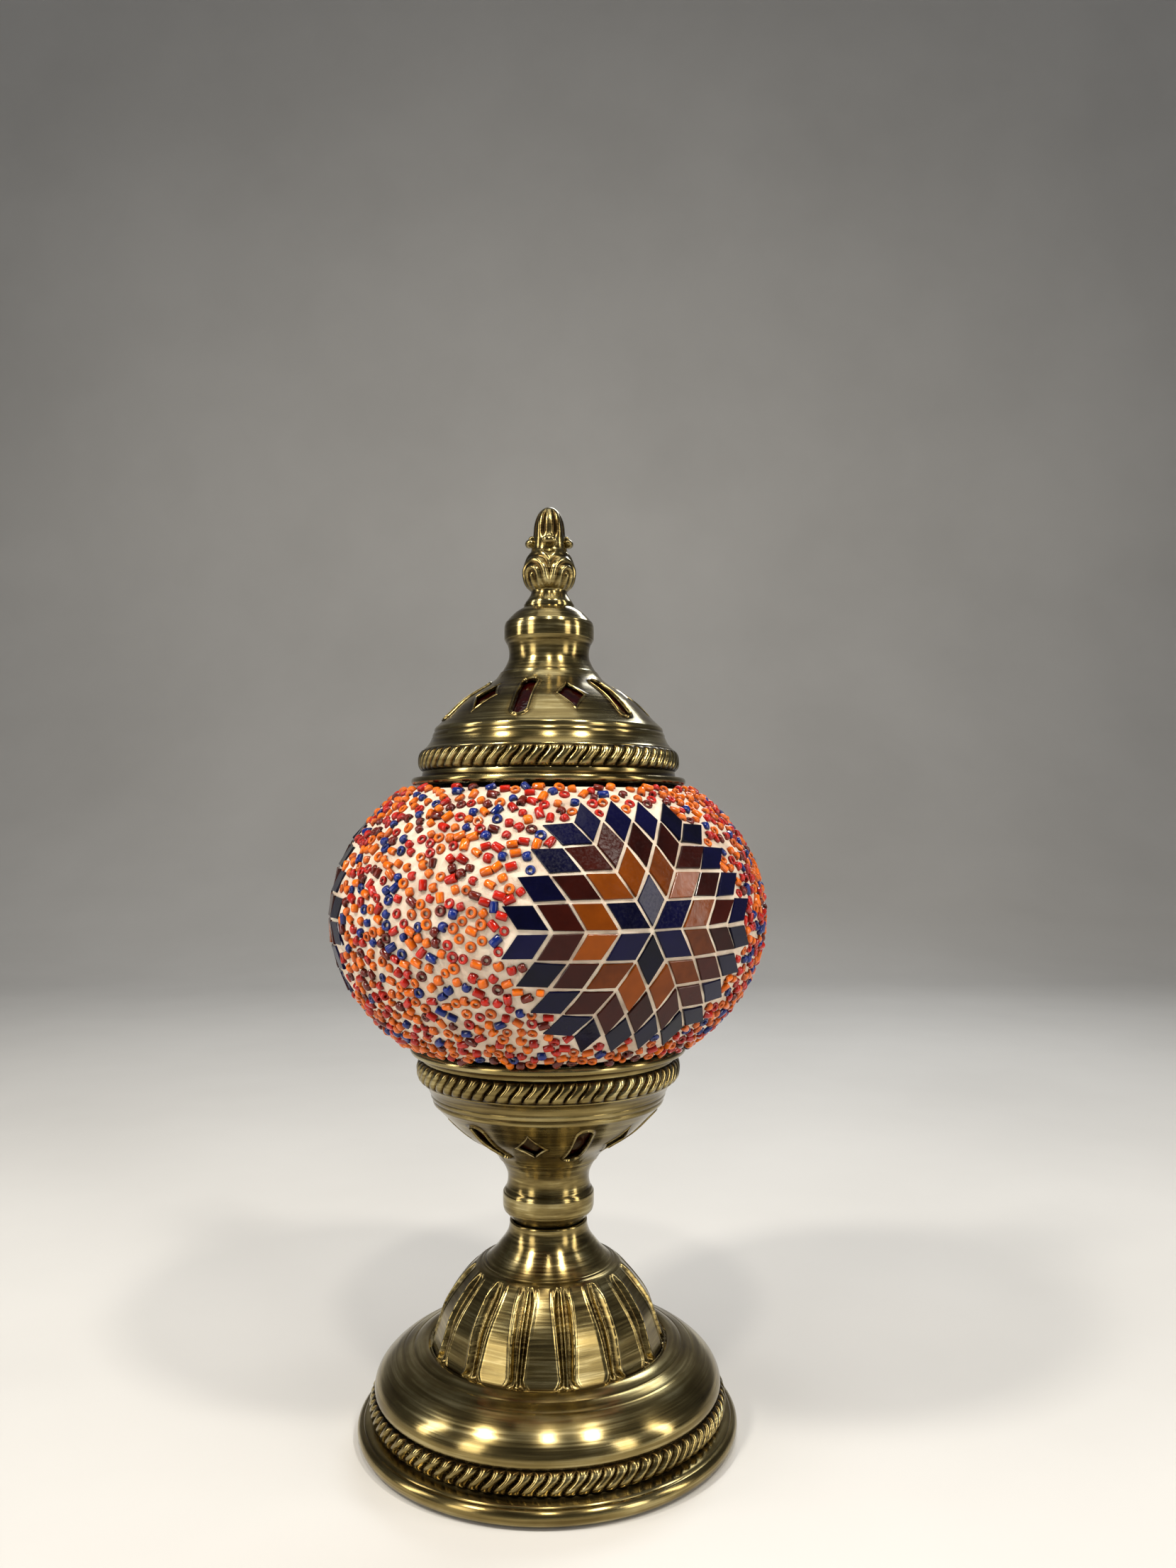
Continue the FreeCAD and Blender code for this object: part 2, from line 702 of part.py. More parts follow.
def make_holder():
    """An E14 holder: plastic shell, ceramic core, screw sleeve, centre contact, terminals and screws."""
    low = size("holder_low")
    high = size("holder_high")
    radius = size("holder_radius")
    wall = size("holder_wall")
    turned_body("holder_shell", [
        corner(size("tube_radius") + 0.05, low),
        corner(radius - 5, low),
        corner(radius - 4.4, low + 0.6),
        corner(radius - 4.4, low + 6),
        through(radius - 1.3, low + 8),
        corner(radius, low + 11),
        corner(radius, low + 19),
        corner(radius - 0.7, low + 19.6),
        corner(radius - 0.7, high - 10),
        corner(radius + 0.6, high - 9.4),
        corner(radius + 0.6, high - 6.6),
        corner(radius - 0.7, high - 6),
        corner(radius - 0.7, high - 0.8),
        corner(radius - 1.4, high),
        corner(radius - 0.7 - wall, high),
        corner(radius - 0.7 - wall, low + 11),
        corner(radius - 6.0, low + 8.4),
        corner(size("tube_radius") + 0.05, low + 8.4),
    ])
    core = size("core_low")
    top = size("core_high")
    turned_body("holder_core", [
        corner(2.2, core),
        corner(radius - 0.9 - wall, core),
        corner(radius - 0.9 - wall, top - 1.2),
        corner(radius - 2.1 - wall, top),
        corner(2.2, top),
    ])
    inner = size("sleeve_radius")
    sleeve = size("sleeve_wall")
    turned_body("thread_sleeve", [
        corner(inner - 2.2, top + 0.1),
        corner(inner + sleeve, top + 0.1),
        corner(inner + sleeve, size("sleeve_high")),
        corner(inner + sleeve + 1.2, size("sleeve_high") + 0.6),
        corner(inner + sleeve + 1.2, size("sleeve_high") + 1.1),
        corner(inner + sleeve * 0.8, size("sleeve_high") + 1.1),
        corner(inner, size("sleeve_high") + 0.5),
        corner(inner, top + 0.1 + sleeve),
        corner(inner - 2.2, top + 0.1 + sleeve),
    ])
    contact = new_body("centre_contact")
    leaf = new_sketch(contact, "contact_leaf")
    draw_outline(leaf, [
        corner(-1.9, core + 1),
        corner(-1.4, core + 1),
        corner(-1.4, top + 1.6),
        corner(2.4, top + 3.1),
        corner(2.4, top + 3.6),
        corner(-1.9, top + 2.0),
    ])
    pad = contact.newObject("PartDesign::Pad", "contact_width")
    pad.Profile = leaf
    pad.Midplane = True
    pad.Length = 2.0
    blocks = []
    screws = []
    for side in (-1, 1):
        name = "left" if side < 0 else "right"
        offset_x = size("terminal_offset") * side
        block = doc.addObject("Part::Box", f"terminal_block_{name}")
        bind(block, Length=as_size(4.0), Width=as_size(5.0), Height=as_size(5.6))
        block.setExpression("Placement.Base.x", (offset_x - 2.0).text)
        block.setExpression("Placement.Base.y", "-2.5")
        block.setExpression("Placement.Base.z", (core - 5.7).text)
        blocks.append(block)
        screw = doc.addObject("Part::Cylinder", f"terminal_screw_{name}")
        bind(screw, Radius=as_size(1.4), Height=as_size(1.6))
        screw.Placement.Rotation = Rotation(Vector(1, 0, 0), 90)
        screw.setExpression("Placement.Base.x", offset_x.text)
        screw.setExpression("Placement.Base.y", "-2.55")
        screw.setExpression("Placement.Base.z", (core - 2.9).text)
        screws.append(screw)
    group("terminal_blocks", blocks)
    group("terminal_screws", screws)


# ---------------------------------------------------------------- bulb

def make_bulb():
    """A small round bulb with a screw cap."""
    cap = size("bulb_cap_radius")
    low = size("bulb_cap_low")
    high = size("bulb_cap_high")
    ball = size("bulb_radius")
    centre = size("bulb_centre")
    wall = size("bulb_wall")
    turned_body("bulb_cap", [
        corner(cap - 1.6, low),
        corner(cap - 0.5, low),
        corner(cap, low + 0.6),
        corner(cap, high),
        corner(cap - 0.35, high),
        corner(cap - 0.35, low + 0.8),
        corner(cap - 0.6, low + 0.4),
        corner(cap - 1.6, low + 0.4),
    ])
    turned_body("bulb_insulator", [
        corner(2.2, low - 1.6),
        corner(3.4, low - 1.6),
        corner(cap - 1.8, low - 0.1),
        corner(cap - 1.8, low + 1.6),
        corner(2.2, low + 1.6),
    ])
    turned_body("bulb_tip_contact", [
        corner(0, low - 2.6),
        through(1.5, low - 2.3),
        corner(2.1, low - 1.4),
        corner(2.1, low + 0.2),
        corner(0, low + 0.2),
    ])
    ball_side = math.radians(40)
    ball_end = math.radians(-24)
    inner = ball - wall
    neck = cap - 0.6
    glass = [
        corner(0, centre + ball),
        through(ball * math.cos(ball_side), centre + ball * math.sin(ball_side)),
        corner(ball * math.cos(ball_end), centre + ball * math.sin(ball_end)),
        through(ball * 0.62, centre - ball * 0.72),
        corner(neck, high + 0.3),
        corner(neck, high - 7),
    ]
    inside = [
        corner(0, centre + inner),
        through(inner * math.cos(ball_side), centre + inner * math.sin(ball_side)),
        corner(inner * math.cos(ball_end), centre + inner * math.sin(ball_end)),
        through(ball * 0.62 - wall, centre - ball * 0.70),
        corner(neck - wall, high + 0.9),
        corner(neck - wall, high - 7),
    ]
    turned_body("bulb_glass", glass + inside[::-1])
    turned_body("bulb_stem", [
        corner(0, high - 6),
        corner(cap - 1.9, high - 6),
        corner(cap - 1.9, high - 5),
        through(2.4, high - 1),
        corner(1.9, high + 5),
        corner(1.9, centre + 12),
        corner(0, centre + 13),
    ])
    sticks = []
    for i in range(4):
        angle = math.radians(45 + 90 * i)
        stick = doc.addObject("Part::Cylinder", f"filament_{i + 1}")
        bind(stick, Radius=as_size(0.8), Height=as_size(26))
        stick.Placement = Placement(Vector(6 * math.cos(angle), 6 * math.sin(angle), 0),
                                    Rotation(Vector(-math.sin(angle), math.cos(angle), 0), -7))
        stick.setExpression("Placement.Base.z", (centre - 15).text)
        sticks.append(stick)
    group("bulb_filaments", sticks)


# ---------------------------------------------------------------- globe

def half_ellipse(radius, half_height, edge):
    """The right-hand side of an ellipse round the globe's middle, as arcs from the height edge down
    to -edge."""
    middle = size("middle_height")
    limit = math.degrees(math.asin(edge.value / half_height.value))
    steps = 8
    path = []
    for i in range(steps + 1):
        angle = math.radians(limit - 2 * limit * i / steps)
        make = through if i % 2 else corner
        path.append(make(radius * math.cos(angle), middle + half_height * math.sin(angle)))
    return path


def ellipse_shell(label, radius, half_height, edge, wall):
    """A turned shell between two ellipses that is open at its top and bottom."""
    outside = half_ellipse(radius, half_height, edge)
    inside = half_ellipse(radius - wall, half_height - wall, edge)
    return turned_body(label, outside + inside[::-1])


def make_globe():
    """The glass, its grout and its bead layer, with a clearing in the beads for each medallion."""
    radius = size("glass_radius")
    half = size("glass_half_height")
    mouth = half * math.sqrt(1 - (size("mouth_radius").value / radius.value) ** 2)
    ellipse_shell("globe_glass", radius, half, mouth, size("glass_wall"))
    grout = size("grout_thickness")
    ellipse_shell("grout_layer", radius + grout, half + grout, size("grout_edge"), grout - 0.05)
    bead = size("bead_thickness")
    beads = ellipse_shell("bead_layer", radius + grout + bead, half + grout + bead, size("bead_edge"),
                          bead - 0.05)
    clearing = new_sketch(beads, "medallion_clearing")
    middle = size("middle_height")
    half_clearing = size("clearing_half_height")
    draw_outline(clearing, rounded_rectangle(size("clearing_half_width"), middle - half_clearing,
                                             middle + half_clearing, size("clearing_corner")))
    cut = cut_through(beads, clearing, "medallion_clearing_cut", backwards=True)
    round_the_axis(beads, cut, "medallions", "medallion_clearings")
    beads.Placement = Placement(Vector(0, 0, 0), Rotation(Vector(0, 0, 1), size("medallion_turn").value))


def surface_frame(across, up):
    """The point of the grout reached by going that far across and up from a medallion's centre, with the
    outward normal there. Both distances are measured along the globe."""
    radius = size("glass_radius").value + size("grout_thickness").value
    half = size("glass_half_height").value + size("grout_thickness").value
    distance = math.hypot(across, up)
    if distance < 1e-9:
        return Vector(0, -radius, 0), Vector(0, -1, 0)
    away_x = across / distance
    away_z = up / distance
    step = 0.1
    point = Vector(0, -radius, 0)
    heading = Vector(away_x, 0, away_z)
    travelled = 0.0
    while travelled < distance:
        length = min(step, distance - travelled)
        point = point + heading * length
        scale = math.sqrt((point.x ** 2 + point.y ** 2) / radius ** 2 + point.z ** 2 / half ** 2)
        point = point * (1 / scale)
        normal = Vector(point.x / radius ** 2, point.y / radius ** 2, point.z / half ** 2)
        normal.normalize()
        heading = heading - normal * heading.dot(normal)
        heading.normalize()
        travelled += length
    return point, normal


def medallion_tiles(ring_number):
    """The corners of each diamond in one ring of the star, as (across, up) distances from its centre."""
    pitch = size("tile_pitch").value
    tiles = []
    for sector in range(6):
        first = math.radians(60 * sector)
        second = math.radians(60 * sector + 60)
        u = (pitch * math.cos(first), pitch * math.sin(first))
        v = (pitch * math.cos(second), pitch * math.sin(second))
        for i in range(ring_number):
            j = ring_number - 1 - i
            tiles.append([(a * u[0] + b * v[0], a * u[1] + b * v[1])
                          for a, b in ((i, j), (i + 1, j), (i + 1, j + 1), (i, j + 1))])
    return tiles


def tile_solid(corners):
    """A flat glass diamond that lies on the grout at its own centre."""
    centre_across = sum(c[0] for c in corners) / 4
    centre_up = sum(c[1] for c in corners) / 4
    centre, normal = surface_frame(centre_across, centre_up)
    shrink = 1 - size("tile_grout").value / (size("tile_pitch").value * math.sin(math.radians(60)))
    base = centre + normal * size("tile_lift").value
    points = []
    for across, up in corners:
        place, _ = surface_frame(centre_across + (across - centre_across) * shrink,
                                 centre_up + (up - centre_up) * shrink)
        points.append(place - normal * (place - base).dot(normal))
    face = Part.Face(Part.makePolygon(points + points[:1]))
    return face.extrude(normal * size("tile_thickness").value)


def make_medallions():
    """The star medallions: rings of cut glass diamonds, one node for each colour of glass."""
    rings = {"tiles_navy": (1, 4), "tiles_amber": (2,), "tiles_maroon": (3,)}
    count = int(sheet.get("medallions"))
    first_turn = size("medallion_turn").value
    for label, numbers in rings.items():
        solids = []
        for ring_number in numbers:
            for corners in medallion_tiles(ring_number):
                solid = tile_solid(corners)
                solid.translate(Vector(0, 0, size("middle_height").value))
                for k in range(count):
                    turned = solid.copy()
                    turned.rotate(Vector(0, 0, 0), Vector(0, 0, 1), first_turn + 360 / count * k)
                    solids.append(turned)
        tiles = doc.addObject("Part::Feature", label)
        tiles.Label = label
        tiles.Shape = Part.makeCompound(solids)


# ---------------------------------------------------------------- finial

def make_finial():
    """The cast finial, blind-bored for the rod, and the washer under it."""
    low = size("finial_low")
    tip = size("finial_tip")
    foot = size("finial_foot_radius")
    ball = size("finial_ball_radius")
    bud = size("finial_bud_radius")
    turned_body("finial", [
        corner(size("finial_bore"), low),
        corner(foot, low),
        through(foot - 0.1, low + 1.2),
        corner(foot - 1.4, low + 2.6),
        corner(foot - 2.3, low + 4.4),
        corner(foot - 1.8, low + 5.8),
        corner(foot - 0.5, low + 7.2),
        through(ball, low + 12.4),
        corner(ball - 1.5, low + 18.2),
        corner(ball - 2.6, low + 20.4),
        through(bud, tip - 14.2),
        corner(bud - 2.9, tip - 11.2),
        through(bud - 3.4, tip - 8.0),
        corner(bud - 4.8, tip - 4.1),
        corner(bud - 6.5, tip - 1.3),
        corner(0, tip),
        corner(0, size("finial_bore_end")),
        corner(size("finial_bore"), size("finial_bore_end")),
    ])
    washer = ring("finial_washer", size("finial_washer_low"), size("washer_thickness"),
                  size("finial_washer_radius"), size("rod_hole"))
    labelled(washer, "finial_washer")


NODES = """
base_shell weight_plate felt_pad cord_grommet threaded_tube tube_nuts tube_washers
lower_cap lower_liner lower_seat_ring harp_bracket top_rod top_rod_nuts
holder_shell holder_core thread_sleeve centre_contact terminal_blocks terminal_screws
bulb_glass bulb_cap bulb_insulator bulb_tip_contact bulb_stem bulb_filaments
globe_glass grout_layer bead_layer tiles_navy tiles_amber tiles_maroon
upper_cap upper_liner upper_seat_ring finial_washer finial
""".split()


def write_nodes():
    """Checks every object of the document, then writes each node's solids to its own file."""
    doc.recompute()
    failed = [o.Label for o in doc.Objects if "Invalid" in o.State or "Error" in o.State]
    if failed:
        raise RuntimeError(f"these objects failed: {failed}")
    os.makedirs("parts", exist_ok=True)
    for label in NODES:
        node = doc.getObjectsByLabel(label)[0]
        shape = node.Shape
        if shape.isNull() or not shape.isValid() or not shape.Solids:
            raise RuntimeError(f"{label} has no valid solid")
        shape.exportStep(f"parts/{label}.step")
        box = shape.BoundBox
        print(f"{label:18s} solids {len(shape.Solids):3d} volume {shape.Volume:10.1f} "
              f"z {box.ZMin:7.2f} to {box.ZMax:7.2f} x {box.XMin:7.2f} to {box.XMax:7.2f}")


make_foot()
make_cap_set("lower", size("tube_hole"), True, "lower_cap_turn")
make_cap_set("upper", size("rod_hole"), False, "upper_cap_turn")
make_stem()
make_harp()
make_rod()
make_holder()
make_bulb()
make_globe()
make_medallions()
make_finial()
write_nodes()
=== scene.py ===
import json
import math

import bpy
import numpy as np
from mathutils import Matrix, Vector


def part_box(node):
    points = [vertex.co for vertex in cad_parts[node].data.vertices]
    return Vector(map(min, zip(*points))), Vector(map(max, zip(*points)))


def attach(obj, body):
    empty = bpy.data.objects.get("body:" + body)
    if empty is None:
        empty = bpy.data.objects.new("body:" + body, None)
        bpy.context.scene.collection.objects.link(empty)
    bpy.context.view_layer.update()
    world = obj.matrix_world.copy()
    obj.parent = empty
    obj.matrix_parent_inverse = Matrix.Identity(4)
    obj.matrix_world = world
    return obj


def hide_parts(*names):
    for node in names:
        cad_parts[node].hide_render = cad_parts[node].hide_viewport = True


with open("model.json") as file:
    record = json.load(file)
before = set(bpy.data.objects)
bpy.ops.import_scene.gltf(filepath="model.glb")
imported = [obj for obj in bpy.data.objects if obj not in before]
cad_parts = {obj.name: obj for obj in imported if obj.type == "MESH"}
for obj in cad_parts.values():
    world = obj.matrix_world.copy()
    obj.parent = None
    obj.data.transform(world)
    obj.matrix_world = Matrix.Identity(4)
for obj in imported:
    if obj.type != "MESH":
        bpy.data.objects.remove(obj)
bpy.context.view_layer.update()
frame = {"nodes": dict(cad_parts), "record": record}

# Lengths in this script are millimetres until a mesh is made. Angles round the lamp are measured
# from its front, growing towards its right-hand side.
MM = 0.001
TURN = 2 * math.pi
scene = bpy.context.scene


def node_box(name):
    """The lowest and highest corner of a CAD node, in millimetres."""
    low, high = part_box(name)
    return np.array(low) / MM, np.array(high) / MM


# ---------------------------------------------------------------- camera

CAMERA_DISTANCE = 0.4556
CAMERA_HEIGHT = 0.2271
CAMERA_PITCH = 1.9
CAMERA_YAW = -1.9
CAMERA_LENS = 27.03


def make_camera():
    data = bpy.data.cameras.new("camera")
    data.sensor_width = 36
    data.lens = CAMERA_LENS
    data.clip_start = 0.01
    camera = bpy.data.objects.new("camera", data)
    camera.location = (0, -CAMERA_DISTANCE, CAMERA_HEIGHT)
    camera.rotation_euler = (math.radians(90 + CAMERA_PITCH), 0, math.radians(CAMERA_YAW))
    scene.collection.objects.link(camera)
    scene.camera = camera


make_camera()


# ---------------------------------------------------------------- mesh tools

def smooth_line(points, step=0.45):
    """Points about one step apart on a smooth curve through the given (radius, height) ones."""
    points = np.array(points, float)
    ends = np.vstack([2 * points[0] - points[1], points, 2 * points[-1] - points[-2]])
    line = []
    for before, start, end, after in zip(ends, ends[1:], ends[2:], ends[3:]):
        count = max(1, math.ceil(np.linalg.norm(end - start) / step))
        t = np.arange(count)[:, None] / count
        line.append(0.5 * (2 * start + (end - before) * t
                           + (2 * before - 5 * start + 4 * end - after) * t ** 2
                           + (3 * start - before - 3 * end + after) * t ** 3))
    return np.vstack(line + [points[-1:]])


def joined_lines(*strokes):
    """Smooth strokes one after another, with a crease where two of them meet."""
    lines = [smooth_line(stroke) for stroke in strokes]
    return np.vstack([line[:-1] for line in lines[:-1]] + [lines[-1]])


def outward(line):
    """Unit normals of a (radius, height) line, pointing away from the axis where the line rises."""
    tangent = np.gradient(line, axis=0)
    tangent /= np.linalg.norm(tangent, axis=1)[:, None]
    return np.stack([tangent[:, 1], -tangent[:, 0]], axis=1)


def round_axis(radius, angle, height):
    """Points in space at these radii, angles from the front and heights."""
    radius, angle, height = np.broadcast_arrays(radius, angle, height)
    return np.stack([radius * np.sin(angle), -radius * np.cos(angle), height], axis=-1)


def bump(distance, width):
    """One at no distance, falling smoothly to nothing over a few widths."""
    return np.exp(-(distance / width) ** 2)


class Surface:
    """Quads gathered from several grids, with a tone (0 to 1) at each point: patina in hollows, a random
    tone per tile, and painted light and shade on the beads and along the foot of the flute panels.
    """

    def __init__(self):
        self.points = []
        self.quads = []
        self.tones_and_painted_light = []
        self.count = 0

    def add_quads(self, points, quads, tone_and_painted_light=0.0):
        points = np.asarray(points).reshape(-1, 3)
        self.points.append(points)
        self.quads.append(np.asarray(quads).reshape(-1, 4) + self.count)
        self.tones_and_painted_light.append(np.broadcast_to(tone_and_painted_light, len(points)))
        self.count += len(points)

    def add_grid(self, points, tone_and_painted_light=0.0, closed=True, flipped=False):
        """Adds a grid of points as rows by columns, joined round its columns when closed."""
        rows, columns = points.shape[:2]
        index = np.arange(rows * columns).reshape(rows, columns)
        if closed:
            index = np.hstack([index, index[:, :1]])
        quads = np.stack([index[:-1, :-1], index[:-1, 1:], index[1:, 1:], index[1:, :-1]], axis=-1)
        if flipped:
            quads = quads[..., ::-1]
        self.add_quads(points, quads, np.broadcast_to(tone_and_painted_light, (rows, columns)).ravel())

    def turn(self, line, columns, start=0.0, relief=None):
        """Adds a (radius, height) line turned round the axis. A relief moves it along its normal."""
        angles = start + np.arange(columns) * TURN / columns
        raised = np.zeros((len(line), columns))
        tone_and_painted_light = raised
        if relief:
            raised, tone_and_painted_light = relief(line, angles)
        normal = outward(line)
        radius = line[:, :1] + normal[:, :1] * raised
        height = line[:, 1:] + normal[:, 1:] * raised
        self.add_grid(round_axis(radius, angles[None, :], height), tone_and_painted_light)

    def to_object(self, name, material, crease=38.0, weld=0.004, wall=0.0):
        """The gathered quads as a smooth-shaded object, creased where its faces meet sharply."""
        points = np.vstack(self.points) * MM
        quads = np.vstack(self.quads)
        mesh = bpy.data.meshes.new(name)
        mesh.vertices.add(len(points))
        mesh.vertices.foreach_set("co", points.astype(np.float32).ravel())
        mesh.loops.add(quads.size)
        mesh.loops.foreach_set("vertex_index", quads.astype(np.int32).ravel())
        mesh.polygons.add(len(quads))
        mesh.polygons.foreach_set("loop_start", np.arange(0, quads.size, 4, dtype=np.int32))
        mesh.update(calc_edges=True)
        attribute = mesh.attributes.new("tone_and_painted_light", "FLOAT", "POINT")
        attribute.data.foreach_set("value", np.concatenate(self.tones_and_painted_light).astype(np.float32))
        mesh.validate()
        mesh.materials.append(material)
        made = bpy.data.objects.new(name, mesh)
        scene.collection.objects.link(made)
        if weld:
            modifier = made.modifiers.new("weld", "WELD")
            modifier.merge_threshold = weld * MM
        if wall:
            modifier = made.modifiers.new("wall", "SOLIDIFY")
            modifier.thickness = wall * MM
            modifier.offset = -1
        mesh.polygons.foreach_set("use_smooth", np.ones(len(mesh.polygons), bool))
        mesh.set_sharp_from_angle(angle=math.radians(crease))
        return made


# ---------------------------------------------------------------- material tools

def put(tree, socket, value):
    """Sets a socket to a number or colour, or links another node's output to it."""
    if isinstance(value, bpy.types.NodeSocket):
        tree.links.new(value, socket)
    else:
        socket.default_value = value


def node(tree, kind, inputs=None, **settings):
    made = tree.nodes.new("ShaderNode" + kind)
    for name, value in settings.items():
        setattr(made, name, value)
    for name, value in (inputs or {}).items():
        put(tree, made.inputs[name], value)
    return made


def calculate(tree, operation, first, second=0.0):
    return node(tree, "Math", {0: first, 1: second}, operation=operation).outputs[0]


def remap(tree, value, low, high, from_low=0.3, from_high=0.7):
    """Spreads a noise value over the range low to high."""
    return node(tree, "MapRange", {"Value": value, "From Min": from_low, "From Max": from_high,
                                   "To Min": low, "To Max": high}).outputs[0]


def noise(tree, scale, detail=4.0, vector=None, roughness=0.55):
    made = node(tree, "TexNoise", {"Scale": scale, "Detail": detail, "Roughness": roughness})
    put(tree, made.inputs["Vector"], vector or object_place(tree))
    return made.outputs["Fac"]


def object_place(tree):
    return node(tree, "TexCoord").outputs["Object"]


def ramp(tree, value, *stops):
    """A colour ramp with (place, colour) stops."""
    made = node(tree, "ValToRGB", {"Fac": value})
    elements = made.color_ramp.elements
    while len(elements) < len(stops):
        elements.new(0.5)
    for element, (place, colour) in zip(elements, stops):
        element.position = place
        element.color = (*colour, 1)
    return made.outputs["Color"]


def new_material(name, **sockets):
    """A material and its tree and shader, with the named shader sockets set to plain values."""
    material = bpy.data.materials.new(name)
    material.use_nodes = True
    tree = material.node_tree
    shader = tree.nodes["Principled BSDF"]
    for socket, value in sockets.items():
        shader.inputs[socket.replace("_", " ")].default_value = value
    return material, tree, shader


def add_bump(tree, shader, height, depth):
    """A bump whose full height is the depth given, in millimetres."""
    made = node(tree, "Bump", {"Height": height, "Distance": depth * MM})
    tree.links.new(made.outputs["Normal"], shader.inputs["Normal"])


def mottled(name, colours, scale, roughness, grain=None, **sockets):
    """A surface whose colour and roughness wander between two values, with a fine grain.
    The grain is (scale, depth in millimetres)."""
    material, tree, shader = new_material(name, **sockets)
    value = noise(tree, scale)
    put(tree, shader.inputs["Base Color"], ramp(tree, value, (0.3, colours[0]), (0.7, colours[1])))
    put(tree, shader.inputs["Roughness"], remap(tree, noise(tree, scale * 2.3), *roughness))
    if grain:
        add_bump(tree, shader, noise(tree, grain[0]), grain[1])
    return material


def brushed_rings(tree, fineness):
    """Fine noise that runs round the axis, as left by polishing on a lathe. Its rings lie closer
    together up the axis than away from it."""
    place = node(tree, "SeparateXYZ", {"Vector": object_place(tree)})
    x, y, z = place.outputs
    radius = calculate(tree, "SQRT", calculate(tree, "ADD", calculate(tree, "MULTIPLY", x, x),
                                               calculate(tree, "MULTIPLY", y, y)))
    radius = calculate(tree, "ADD", radius, 1e-5)
    along = node(tree, "CombineXYZ", {"X": calculate(tree, "DIVIDE", x, radius),
                                      "Y": calculate(tree, "DIVIDE", y, radius),
                                      "Z": calculate(tree, "MULTIPLY", z, fineness)})
    made = node(tree, "TexNoise", {"Vector": along.outputs[0], "Detail": 3.0, "Scale": 1.6,
                                   "W": calculate(tree, "MULTIPLY", radius, fineness * 0.2)},
                noise_dimensions="4D")
    return made.outputs["Fac"]


# ---------------------------------------------------------------- materials

def antique_brass():
    """Lacquered antique brass: golden where it was rubbed bright, brown-black in the hollows and in the
    painted shade under the foot's flute panels.
    """
    material, tree, shader = new_material("antique_brass", Metallic=1.0, Anisotropic=0.75,
                                          Anisotropic_Rotation=0.25)
    brush = brushed_rings(tree, 900)
    coarse = brushed_rings(tree, 210)
    cloud = noise(tree, 38, 5.0)
    tone_and_painted_light = node(tree, "Attribute", attribute_name="tone_and_painted_light").outputs["Fac"]
    shade = calculate(tree, "ADD", remap(tree, brush, -0.12, 0.12), remap(tree, coarse, 0.50, 0.72))
    shade = calculate(tree, "ADD", shade, remap(tree, cloud, -0.10, 0.10))
    # Darker with patina in the hollows, and with painted shade along the foot of the flute panels.
    shade = calculate(tree, "SUBTRACT", shade, calculate(tree, "MULTIPLY", tone_and_painted_light, 0.62))
    colour = ramp(tree, shade, (0.0, (0.010, 0.006, 0.002)), (0.32, (0.050, 0.030, 0.009)),
                  (0.62, (0.235, 0.180, 0.070)), (1.0, (0.72, 0.63, 0.34)))
    put(tree, shader.inputs["Base Color"], colour)
    rough = calculate(tree, "ADD", remap(tree, brush, 0.15, 0.26),
                      calculate(tree, "MULTIPLY", tone_and_painted_light, 0.20))
    put(tree, shader.inputs["Roughness"], rough)
    tangent = node(tree, "Tangent", direction_type="RADIAL", axis="Z")
    tree.links.new(tangent.outputs[0], shader.inputs["Tangent"])
    add_bump(tree, shader, brush, 0.012)
    return material


def spun_metal(name, dark, light, roughness):
    """Bare turned or plated metal with fine turning marks."""
    material, tree, shader = new_material(name, Metallic=1.0)
    brush = brushed_rings(tree, 1500)
    stain = noise(tree, 160)
    shade = calculate(tree, "ADD", calculate(tree, "MULTIPLY", brush, 0.5),
                      calculate(tree, "MULTIPLY", stain, 0.5))
    put(tree, shader.inputs["Base Color"], ramp(tree, shade, (0.3, dark), (0.7, light)))
    put(tree, shader.inputs["Roughness"], remap(tree, stain, *roughness))
    add_bump(tree, shader, brush, 0.015)
    return material


def felt():
    """Pressed felt: short fibres in every direction, with a soft sheen."""
    material, tree, shader = new_material("felt", Sheen_Weight=0.5, Sheen_Roughness=0.6)
    fibres = noise(tree, 2600, 6.0, roughness=0.8)
    colour = ramp(tree, fibres, (0.3, (0.012, 0.018, 0.013)), (0.7, (0.055, 0.075, 0.055)))
    put(tree, shader.inputs["Base Color"], colour)
    put(tree, shader.inputs["Roughness"], remap(tree, fibres, 0.85, 1.0))
    add_bump(tree, shader, fibres, 0.2)
    return material


def liner_plastic():
    """Thin glossy dark red sheet behind the caps' windows, rippled where it was pressed in."""
    material, tree, shader = new_material("red_liner", Specular_IOR_Level=0.25)
    ripple = noise(tree, 220, 2.0)
    colour = ramp(tree, ripple, (0.3, (0.004, 0.0003, 0.0003)), (0.7, (0.018, 0.0006, 0.0007)))
    put(tree, shader.inputs["Base Color"], colour)
    put(tree, shader.inputs["Roughness"], remap(tree, noise(tree, 90), 0.08, 0.16))
    add_bump(tree, shader, ripple, 0.35)
    return material


def bare_glass(name, tint, roughness=0.03):
    """Blown glass with faint waves in its surface."""
    material, tree, shader = new_material(name, Transmission_Weight=1.0, IOR=1.5)
    waves = noise(tree, 45, 2.0)
    tinted = tuple(0.94 * part for part in tint)
    put(tree, shader.inputs["Base Color"], ramp(tree, waves, (0.3, tinted), (0.7, tint)))
    put(tree, shader.inputs["Roughness"], remap(tree, waves, roughness, roughness + 0.03))
    add_bump(tree, shader, waves, 0.05)
    return material


